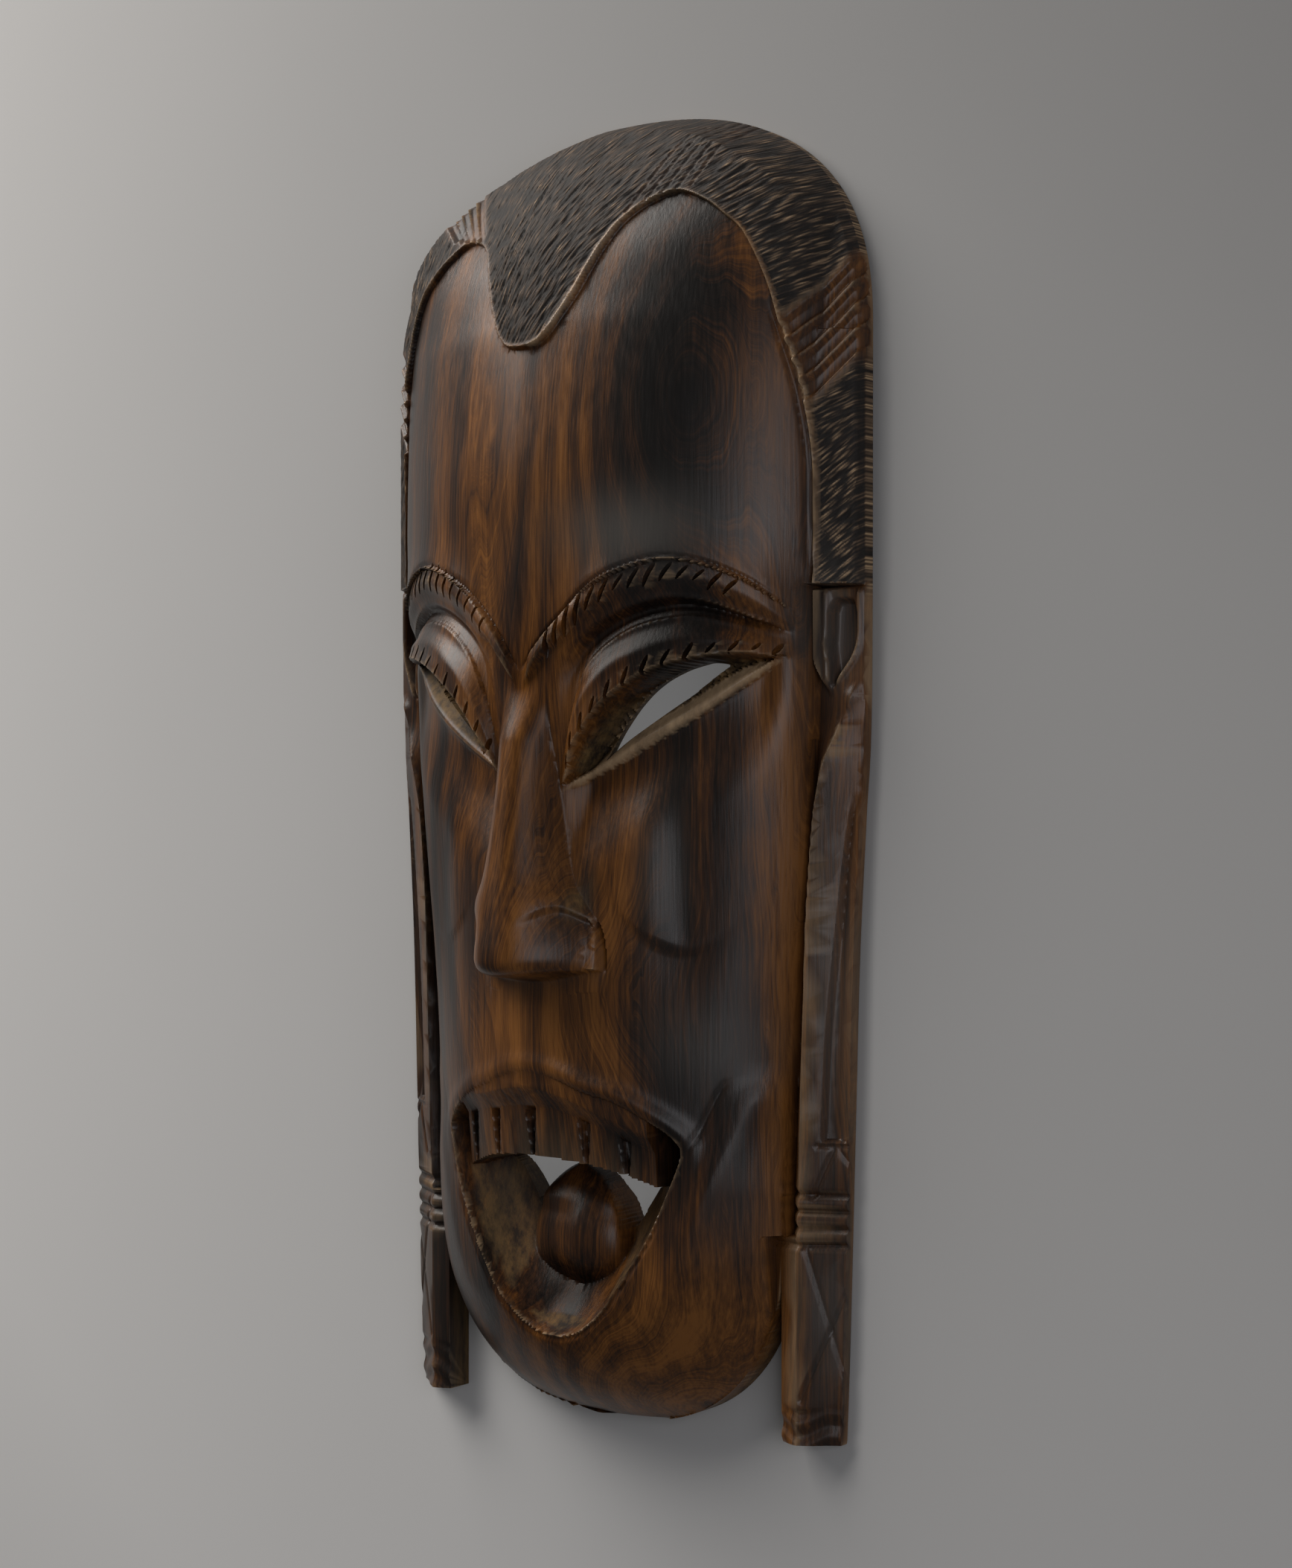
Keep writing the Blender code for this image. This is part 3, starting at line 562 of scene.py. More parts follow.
def eye_region(x, y):
    """Brow, orbit, lid, slit and lower lid, as heights over the face."""
    a = np.abs(x)
    y = y + eyes_down(x)
    brow = level(a, BROW_LINE)
    fold = level(a, FOLD_LINE)
    lid = level(a, LID_LINE)
    slit = level(a, SLIT_LINE)
    cheek = level(a, CHEEK_LINE)
    fade = ease((a - EYE_START) / 12) * ease((EYE_END - a) / 14)
    wide = ease((a + 1) / 9) * ease((EYE_END + 3 - a) / 12)
    brow_foot = brow - BROW_WIDE - 5 * fade
    valley = brow_foot + 0.45 * (fold - brow_foot)
    soft = SOFT / 2
    lines = [brow + soft, brow - soft, brow - 0.55 * BROW_WIDE, brow_foot, valley, fold + soft, fold - soft,
             0.4 * fold + 0.6 * lid, lid + 0.5, lid - soft, slit_top(a), slit, cheek + SOFT, cheek - SOFT,
             cheek - CHEEK_REACH]
    offsets = [0, BROW_HIGH * 0.8, BROW_HIGH, 0, -ORBIT_DEEP, -ORBIT_DEEP * 0.6, -ORBIT_DEEP * 0.2,
               LID_HIGH * 0.8, LID_HIGH, 0, -SLIT_DEEP - 2, -SLIT_DEEP, -STRIP_HIGH, -CHEEK_SUNK, 0]
    whole = between(y, lines, offsets)
    brow_only = between(y, lines[:4] + [lines[3] - 12], offsets[:4] + [0])
    groove = BROW_GROOVE * hump(y - brow - 1.6, 0.9)
    flare = BROW_FLARE * (y > brow) * np.exp(-np.clip(y - brow, 0, None) / 14) * ease((a - 18) / 25)
    under_lid = (y < lid - 1) & (y > slit)
    splinter = (0.17 * a + 0.20 * y + 0.35 * np.sin(0.5 * a)) % 1
    adzed = SPLINTER_DEEP * splinter + CHATTER_DEEP * np.abs(np.sin(1.1 * y - 0.5 * a))
    carved = brow_only * wide * (1 - fade) + (whole - adzed * under_lid) * fade
    return carved - groove * wide + flare * wide


def nose(x, y, ground):
    """The nose, which flares below into a wing each side and ends in a flat, sharp underside."""
    a = np.abs(x)
    y = y + TIP_DROP * (1 - ease(a / 32)) * ease((-45 - y) / 30)
    ridge = level(y, NOSE_LINE)
    flare = ease((WING_START - y) / 16)
    wide = level(y, NOSE_WIDE) - WING_SHORT * flare * (x < 0)
    t = np.clip(a / wide, 0, 1)
    section = (1 - t**NOSE_POWER) ** (1 + 0.25 * flare)
    body = (ridge - ground) * section * ease((NOSE_LINE[-1][0] - y) / NOSE_FADE)
    wing = WING_HIGH * flare * ease((wide - a) / WING_EDGE) * ease((y - NOSE_FOOT) / 1.5)
    peak, peak_wide, peak_high = FACET_PEAK
    under = FACET_TOP + peak_high * hump(a - peak, peak_wide) - 0.2 * np.clip(a - peak, 0, None) - y
    facet = FACET_DEEP * ease(under / 4) * np.exp(-np.clip(under, 0, None) / FACET_REACH)
    facet = facet * ease((a - 8) / 15) * (a < wide) * ease((y - NOSE_FOOT) / 2)
    body = np.where((y > NOSE_LINE[0][0]) & (y < NOSE_LINE[-1][0]), np.maximum(body, 0), 0)
    return ground + np.maximum(body, wing) - facet


def cheek_forms(x, y):
    """The hollow under the cheekbone and the jaw that swells outside the crease."""
    a = np.abs(x)
    under = HOLLOW_MIDDLE[1] + HOLLOW_RISE * (a - HOLLOW_MIDDLE[0]) ** 2 - y
    hollow = -HOLLOW_DEEP * hump(a - HOLLOW_MIDDLE[0], HOLLOW_SIZE[0]) * ease((under + 2) / 8)
    hollow = hollow * np.exp(-np.clip(under, 0, None) / HOLLOW_SIZE[1])
    across = hump(a - PLANE_START - PLANE_WIDE / 2, PLANE_REACH)
    plane = PLANE_HIGH * (0.5 - ease((a - PLANE_START) / PLANE_WIDE)) * across
    plane = plane * ease((under + 3) / -6 + 1) * ease((2 - y) / 24)
    strong = np.where(x > 0, 1, LEFT_SHARE)
    out = beside(a, y, CREASE_LINE)
    reach = ease((CREASE_LINE[0][1] + 6 - y) / 18) * ease((y - CREASE_END) / 44)
    falls = np.exp(-np.clip(out - CREASE_LEVEL, 0, None) / CREASE_WIDE)
    jaw = CREASE_HIGH * ease((out + 1) / CREASE_RISE) * falls * reach
    score = CREASE_CUT * hump(out, 1.3) * ease((CREASE_LINE[0][1] - y) / 8)
    score = score * ease((y - CREASE_LINE[4][1]) / 22)
    return (hollow + plane + jaw - score) * strong


def teeth(x, y, lip_inside):
    """The upper teeth, with a notch between each two that is wide at the gum."""
    bottom = level(x, TEETH_BOTTOM)
    front = level(x, TEETH_FRONT)
    notch = np.zeros(x.shape)
    for place in TOOTH_GAPS:
        half = NOTCH_HALF + NOTCH_WIDENS * np.clip(y - bottom, 0, None)
        notch = np.maximum(notch, ease((half - np.abs(x - place)) / 1.2 + 0.5))
    gum = y - level(x, TEETH_TOP)
    here = (y > bottom) & (lip_inside > 0) & (np.abs(x) < TEETH_END)
    notched = front - NOTCH_DEEP * notch * ease(-gum / 2)
    return here, notched + TEETH_LEAN * (y - bottom) + GUM_SLOPE * np.clip(gum, 0, None)


def tongue(x, y):
    """The tongue, which sinks into the floor of the mouth, cut in two planes that meet in a ridge."""
    wide = level(y, TONGUE_WIDE)
    high = level(y, TONGUE_HIGH)
    t = np.abs(x - TONGUE_MIDDLE) / wide
    here = (t < 1) & (y > TONGUE_WIDE[0][0]) & (y < TONGUE_WIDE[-1][0])
    planes = TONGUE_PLANES * np.abs(x - TONGUE_RIDGE - 0.1 * (y + 190)) * ease((-176 - y) / 8)
    fall = TONGUE_ROUND * (1 - np.sqrt(np.clip(1 - t**TONGUE_POWER, 0, 1)))
    return here, high - fall - planes


def mouth(x, y, ground, inside):
    """The open mouth, deep enough to break through into the hollow beside the tongue."""
    lip = LIP_HIGH * hump(inside + 3.5, LIP_WIDE) * ease((y + 175) / 40)
    lip = lip * (0.3 + 0.7 * ease((x - 4) / 22))
    bevel = LIP_BEVEL * ease((inside + 2.8) / 2.2) * ease((-170 - y) / 20)
    shallow = 1 - 0.2 * ease((-190 - y) / 26)
    floor = ground - MOUTH_DEEP * shallow * (1 - np.exp(-np.clip(inside, 0, None) / MOUTH_SLOPE))
    height = np.where(inside > 0, np.maximum(floor, EDGE + 9), ground + lip - bevel)
    is_tooth, tooth = teeth(x, y, inside)
    gap = (inside > 2) & (y < level(x, TEETH_BOTTOM)) & (y > level(x, GAP_LINE))
    height = np.where(gap, -5.0, height)
    is_tongue, tongue_height = tongue(x, y)
    is_tongue = is_tongue & (y < level(x, TEETH_BOTTOM))
    height = np.where(is_tongue, np.maximum(height, tongue_height), height)
    return np.where(is_tooth, np.maximum(np.minimum(tooth, ground), height), height)


def band(x, y):
    """The ear, the lobe with its slot, the bound part and the pendant, outside the face."""
    a = np.abs(x)
    right = x > 0
    ridge = level(y, RIDGE_LINE)
    top = RIDGE_HIGH - RIDGE_DROP * ease((y - 2) / 22)
    outer = side_width(y)
    inner = np.where(y < CHIN_START - 15, PENDANT_INNER, face_width(y))
    inner_high = np.where(y < CHIN_START - 15, PENDANT_EDGE, GROOVE_HIGH)
    outside = np.clip((a - ridge) / np.maximum(outer - ridge, 1), 0, 1)
    within = np.clip((ridge - a) / np.maximum(ridge - inner, 1), 0, 1)
    height = np.where(a > ridge, top - (top - EDGE) * outside, top - (top - inner_high) * within)
    slot = ease((a - level(y, SLOT_INNER)) / SOFT + 0.5)
    slot = slot * ease((SLOT_TOP - y) / 12) * ease((y - SLOT_BOTTOM) / SOFT)
    height = np.maximum(height - SLOT_DEEP * slot, EDGE)
    first = np.where(right, BAND_TOP_RIGHT, BAND_TOP_LEFT)
    for number in range(BANDS):
        height = height - BAND_DEEP * hump(y - first + number * BAND_STEP, BAND_WIDE)
    for start, end in SCORED_LINES:
        distance, _ = from_line(a, y, start, end)
        height = height - SCORE_DEEP * hump(distance, SCORE_WIDE)
    worn_end = 0.7 * (1 + np.sin(y / 1.5 + 1.6 * np.sin(x / 3.7))) * ease((-252 - y) / 4)
    height = height - worn_end
    return np.where(y > 22, ear(a, y, np.where(right, EAR_TOP_RIGHT, EAR_TOP_LEFT), height), height)


def ear(a, y, top, below):
    """A raised ring round a hollow, which narrows to a tip over the place where the lobe begins."""
    ring_x, tip_x = EAR_LEFT, EAR_TIP[0]
    plate = np.maximum(EAR_HIGH - EAR_SLOPE * (a - ring_x), EDGE)
    upper = top - EAR_RING
    share = np.clip((y - EAR_TIP[1]) / (upper - EAR_TIP[1]), 0, 1)
    half = (EAR_RIGHT - ring_x - EAR_RING) / 2 * ease(1.7 * share + 0.05)
    middle = tip_x + 0.5 + (EAR_RIGHT - half - tip_x - 0.5) * ease(1.5 * share)
    corner = 3.0 * ease((y - upper + 6) / 6)
    hole = ease((half - corner * 0.5 - np.abs(a - middle)) / (2 * SOFT) + 0.5)
    hole = hole * ease((upper - y) / (2 * SOFT) + 0.5) * ease((y - EAR_TIP[1]) / SOFT)
    lip = EAR_LIP * hump(np.abs(a - middle) - half - 1.6, 1.3)
    lip = lip * ease((y - EAR_TIP[1]) / 6) * ease((top - y) / 4)
    ring = plate - EAR_DEEP * hole + lip
    left_edge = ring_x - 1.5 + 5.5 * ease((46 - y) / 16)
    ring = GROOVE_HIGH + (ring - GROOVE_HIGH) * ease((a - left_edge) / SOFT + 0.5)
    ring = below + (ring - below) * ease((y - EAR_TIP[1] + 4) / 8)
    return EDGE + (ring - EDGE) * ease((top - y) / SOFT)


def lean(x, y):
    """How far the crown lies lower on its left side."""
    return SHOULDER_DROP * ease(-x / 70) * ease((y - 150) / 90)


def front_height(x, y, hair_inward, lip_inside):
    """Height of the whole carved front over the plane of the back rim."""
    ground = dome(x, y)
    face = ground + cheek_forms(x, y)
    face = face + eye_region(x, y)
    face = nose(x, y, face)
    face = mouth(x, y, face, lip_inside)
    haired = hair(x, y, face, hair_inward)
    sides = band(x, y)
    ear_top = np.where(x > 0, EAR_TOP_RIGHT, EAR_TOP_LEFT)
    least = np.where(y < CHIN_START, EDGE, GROOVE_HIGH)
    lower = np.where(np.abs(x) < face_width(y), np.maximum(face, least), sides)
    lower = np.where((y < CHIN_START - 15) & (np.abs(x) > PENDANT_INNER - 3), sides, lower)
    lower = np.where((y > ear_top - 3) & (np.abs(x) < face_width(y) - 1), haired, lower)
    return np.where(y > ear_top, haired, lower)


def hollow_height(x, y):
    """Height of the hollow in the back with its gouge marks, below zero where there is none."""
    t = np.clip(np.abs(x) / (level(y, HOLLOW_WIDE) + 13 - BACK_RIM), 0, 1.2)
    crown = level(y, UNDER_LINE) - WALL
    marks = GOUGE_DEEP * np.abs(np.sin(np.pi * (x + 4 * np.sin(y / 23)) / GOUGE_WIDE))
    marks = marks + 0.5 * GOUGE_DEEP * np.abs(np.sin(np.pi * (y + 5 * np.sin(x / 9)) / GOUGE_LONG))
    bowl = (crown - marks) * np.sqrt(np.clip(1 - t**2, 0, 1)) - 30 * np.clip(t - 1, 0, None)
    beyond = np.clip(y - UNDER_LINE[-1][0], 0, None) + np.clip(UNDER_LINE[0][0] - y, 0, None)
    return np.where(beyond > 0, -3, bowl)


def comb_angle(x, y):
    """The way the strokes of the hair run, in degrees from the line across the face."""
    crown = level(x, COMB_LINE)
    low = ease((x - 60) / 30) * ease((150 - y) / 25)
    return crown + (COMB_LOW - crown) * low


def block_mesh(name, xs, ys, heights, low):
    """A closed block over a grid of places, its top raised to the heights, in drawn millimetres."""
    rows, columns = len(ys), len(xs)
    grid_x, grid_y = np.meshgrid(xs, ys)
    tops = np.stack([grid_x * ACROSS, grid_y * UP, heights * OUT], -1).reshape(-1, 3)
    number = np.arange(rows * columns).reshape(rows, columns)
    quads = np.stack([number[:-1, :-1], number[:-1, 1:], number[1:, 1:], number[1:, :-1]], -1)
    border = np.concatenate([number[0, :-1], number[:-1, -1], number[-1, :0:-1], number[:0:-1, 0]])
    feet = tops[border].copy()
    feet[:, 2] = low
    foot = rows * columns + np.arange(len(border))
    walls = np.stack([np.roll(border, -1), border, foot, np.roll(foot, -1)], -1)
    verts = np.vstack([tops, feet])
    faces = quads.reshape(-1, 4).tolist() + walls.tolist() + [foot[::-1].tolist()]
    mesh = bpy.data.meshes.new(name)
    mesh.from_pydata(verts.tolist(), [], faces)
    mesh.update()
    return mesh


def add_object(name, mesh):
    """A new object at the origin for a mesh."""
    piece = bpy.data.objects.new(name, mesh)
    bpy.context.scene.collection.objects.link(piece)
    return piece


def prism(name, outline, low, high, slant=0.0, shift=0.0):
    """A closed outline drawn out from low to high, leaning across by the slant."""
    bm = bmesh.new()
    base = [bm.verts.new((x * ACROSS + slant * low + shift, y * UP, low)) for x, y in outline]
    face = bm.faces.new(base)
    raised = bmesh.ops.extrude_face_region(bm, geom=[face])["geom"]
    for item in raised:
        if isinstance(item, bmesh.types.BMVert):
            item.co.x += slant * (high - low)
            item.co.z = high
    bmesh.ops.recalc_face_normals(bm, faces=bm.faces[:])
    mesh = bpy.data.meshes.new(name)
    bm.to_mesh(mesh)
    bm.free()
    return add_object(name, mesh)


def block_outline():
    """Up the right side, over the crown, down the left side and across the pendants' ends."""
    turn = np.linspace(0, np.pi / 2, OUTLINE_POINTS // 2)
    arch_y = ARCH_START + (TOP - ARCH_START) * np.sin(turn) ** (2 / ARCH_POWER)
    side_y = np.linspace(-TOP, ARCH_START, 60)[:-1]
    up = np.concatenate([side_y, arch_y[:-1]])
    right = [(side_width(y), y) for y in up]
    left = [(-x, y - lean(-x, y)) for x, y in right[::-1]]
    right[0] = (right[0][0], -TOP + SHORT_PENDANT)
    middle = [(30, -TOP + SHORT_PENDANT), (-30, -TOP)]
    return right + [(0, TOP)] + left + middle[::-1]


def gap_outline():
    """The open space round the chin, between the two pendants."""
    start = CHIN_DROP * (1 - (PENDANT_INNER / FACE_LINE[0][1]) ** CHIN_POWER) ** (1 / CHIN_POWER)
    turn = np.linspace(0, np.pi / 2, 60)
    drops = start + (CHIN_DROP - start) * np.sin(turn)
    right = [(float(chin_width(CHIN_START - drop)), CHIN_START - drop) for drop in drops]
    right[0] = (PENDANT_INNER, right[0][1])
    left = [(-x, y) for x, y in right[::-1]]
    foot = -TOP - 10
    chin = [(0, CHIN_START - CHIN_DROP)]
    return [(PENDANT_INNER, foot)] + right[:-1] + chin + left[1:] + [(-PENDANT_INNER, foot)]


def slit_outline(side):
    """The long almond of one eye."""
    across = SLIT_MIDDLE + SLIT_HALF * np.linspace(-0.97, 0.97, 41)
    down = EYES_DOWN_RIGHT if side > 0 else EYES_DOWN_LEFT
    upper = [(x, float(slit_top(x)) - down) for x in across]
    lower = [(x, float(level(x, SLIT_LINE)) - down) for x in across[::-1]]
    return [(side * x, y) for x, y in upper + lower]


def node(tree, kind, inputs=None, stops=(), **settings):
    """Adds a node with its settings, values, links and colour stops, and gives its outputs."""
    made = tree.nodes.new(kind)
    for name, value in settings.items():
        setattr(made, name, value)
    for key, value in (inputs or {}).items():
        if isinstance(value, bpy.types.NodeSocket):
            tree.links.new(value, made.inputs[key])
        else:
            made.inputs[key].default_value = value
    for number, (place, code) in enumerate(stops):
        items = made.color_ramp.elements
        item = items[number] if number < len(items) else items.new(place)
        item.position = place
        item.color = colour(code)
    return made.outputs


def node_group(name, sizes):
    """An empty geometry tree with a geometry socket each way and named sizes."""
    tree = bpy.data.node_groups.new(name, "GeometryNodeTree")
    tree.interface.new_socket("Geometry", in_out="INPUT", socket_type="NodeSocketGeometry")
    for label, kind in sizes:
        tree.interface.new_socket(label, in_out="INPUT", socket_type=kind)
    tree.interface.new_socket("Geometry", in_out="OUTPUT", socket_type="NodeSocketGeometry")
    return tree, tree.nodes.new("NodeGroupInput").outputs, tree.nodes.new("NodeGroupOutput")


def finish_tree(tree, shape, material, out):
    """Makes the instances real, gives them the material and ends the tree."""
    real = node(tree, "GeometryNodeRealizeInstances", {0: shape})
    finished = node(tree, "GeometryNodeSetMaterial", {0: real[0], "Material": material})
    tree.links.new(finished[0], out.inputs[0])


def combed_cells(tree, place, comb, spacing, length, seed):
    """Long narrow cells turned to the comb angle: 0 along their middles, more at their edges."""
    along = node(tree, "ShaderNodeMath", {0: 1.0, 1: length}, operation="DIVIDE")[0]
    across = node(tree, "ShaderNodeMath", {0: 1.0, 1: spacing}, operation="DIVIDE")[0]
    stretch = node(tree, "ShaderNodeCombineXYZ", {0: along, 1: across})[0]
    sunk = None
    for angle in COMB_ANGLES:
        turned = node(tree, "ShaderNodeVectorRotate", {"Vector": place, "Angle": -math.radians(angle)},
                      rotation_type="Z_AXIS")[0]
        scaled = node(tree, "ShaderNodeVectorMath", {0: turned, 1: stretch}, operation="MULTIPLY")[0]
        shifted = node(tree, "ShaderNodeVectorMath", {0: scaled, 1: seed}, operation="ADD")[0]
        cells = node(tree, "ShaderNodeTexVoronoi", {"Vector": shifted, "Scale": 1.0, "Randomness": 0.9},
                     voronoi_dimensions="2D")["Distance"]
        off = node(tree, "ShaderNodeMath", {0: comb, 1: float(angle)}, operation="SUBTRACT")[0]
        off = node(tree, "ShaderNodeMath", {0: off}, operation="ABSOLUTE")[0]
        share = node(tree, "ShaderNodeMapRange", {0: off, 1: 0.0, 2: COMB_BLEND, 3: 1.0, 4: 0.0})[0]
        part = node(tree, "ShaderNodeMath", {0: cells, 1: share}, operation="MULTIPLY")[0]
        sunk = part if sunk is None else node(tree, "ShaderNodeMath", {0: sunk, 1: part})[0]
    return sunk


def strokes_tree(material):
    """Chisel strokes: long narrow cells, turned to the comb angle, sunk at their edges."""
    sizes = [(name, "NodeSocketFloat") for name in ("Spacing", "Length", "Depth", "Seed")]
    tree, given, out = node_group("chisel_strokes", sizes)
    place = node(tree, "GeometryNodeInputPosition")[0]
    comb = node(tree, "GeometryNodeInputNamedAttribute", {"Name": "comb"}, data_type="FLOAT")[0]
    covered = node(tree, "GeometryNodeInputNamedAttribute", {"Name": "hair"}, data_type="FLOAT")[0]
    sunk = combed_cells(tree, place, comb, given["Spacing"], given["Length"], given["Seed"])
    rounded = node(tree, "ShaderNodeMath", {0: sunk, 1: STROKE_ROUND}, operation="POWER")[0]
    kept = node(tree, "GeometryNodeStoreNamedAttribute",
                {"Geometry": given["Geometry"], "Name": "sunk", "Value": rounded}, data_type="FLOAT")[0]
    deep = node(tree, "ShaderNodeMath", {0: rounded, 1: given["Depth"]}, operation="MULTIPLY")[0]
    deep = node(tree, "ShaderNodeMath", {0: deep, 1: covered}, operation="MULTIPLY")[0]
    down = node(tree, "ShaderNodeMath", {0: deep, 1: -STROKE_SINK}, operation="MULTIPLY")[0]
    offset = node(tree, "ShaderNodeCombineXYZ", {2: down})[0]
    moved = node(tree, "GeometryNodeSetPosition", {"Geometry": kept, "Offset": offset})[0]
    finish_tree(tree, moved, material, out)
    return tree


def nicks_tree(material):
    """Slim lens-shaped cutters in a row along a path, turning from the first to the last."""
    names = ("Width", "Length", "Depth", "First Turn", "Last Turn", "Tilt")
    sizes = [("Count", "NodeSocketInt"), *((name, "NodeSocketFloat") for name in names),
             ("Seed", "NodeSocketInt")]
    tree, given, out = node_group("gouge_nicks", sizes)
    path = node(tree, "GeometryNodeResampleCurve", {"Curve": given["Geometry"], "Count": given["Count"]})[0]
    along = node(tree, "GeometryNodeSplineParameter")["Factor"]
    turn = node(tree, "ShaderNodeMapRange", {0: along, 3: given["First Turn"], 4: given["Last Turn"]})[0]
    wobble = node(tree, "FunctionNodeRandomValue", {2: -NICK_WOBBLE, 3: NICK_WOBBLE, "Seed": given["Seed"]},
                  data_type="FLOAT")[1]
    turn = node(tree, "ShaderNodeMath", {0: turn, 1: wobble})[0]
    facing = node(tree, "ShaderNodeCombineXYZ", {0: given["Tilt"], 2: turn})[0]
    least, most = NICK_SIZES
    uneven = node(tree, "FunctionNodeRandomValue", {2: least, 3: most, "Seed": given["Seed"]},
                  data_type="FLOAT")[1]
    ball = node(tree, "GeometryNodeMeshIcoSphere", {"Radius": 0.5, "Subdivisions": 3})[0]
    lens = node(tree, "ShaderNodeCombineXYZ", {0: given["Width"], 1: given["Length"], 2: given["Depth"]})[0]
    cutter = node(tree, "GeometryNodeTransform", {"Geometry": ball, "Scale": lens})[0]
    row = node(tree, "GeometryNodeInstanceOnPoints",
               {"Points": path, "Instance": cutter, "Rotation": facing, "Scale": uneven})[0]
    finish_tree(tree, row, material, out)
    return tree


def use_tree(piece, tree, sizes):
    """Puts a tree on a piece and sets its named sizes."""
    modifier = piece.modifiers.new(tree.name, "NODES")
    modifier.node_group = tree
    for item in tree.interface.items_tree:
        if item.in_out == "INPUT" and item.name in sizes:
            modifier[item.identifier] = sizes[item.name]


def plain_copy(piece, name):
    """The shape that the modifiers give, as a plain mesh in a new object."""
    graph = bpy.context.evaluated_depsgraph_get()
    mesh = bpy.data.meshes.new_from_object(piece.evaluated_get(graph))
    bpy.data.objects.remove(piece)
    mesh.name = name
    return add_object(name, mesh)


def cut(piece, cutter, operation):
    """Adds one cut to a piece."""
    modifier = piece.modifiers.new(cutter.name, "BOOLEAN")
    modifier.operation = operation
    modifier.solver = "MANIFOLD"
    modifier.object = cutter


def colour(hex_code):
    """A linear colour from an sRGB hex value."""
    channels = [int(hex_code[i:i + 2], 16) / 255 for i in (1, 3, 5)]
    linear = [c / 12.92 if c <= 0.04045 else ((c + 0.055) / 1.055) ** 2.4 for c in channels]
    return (*linear, 1.0)


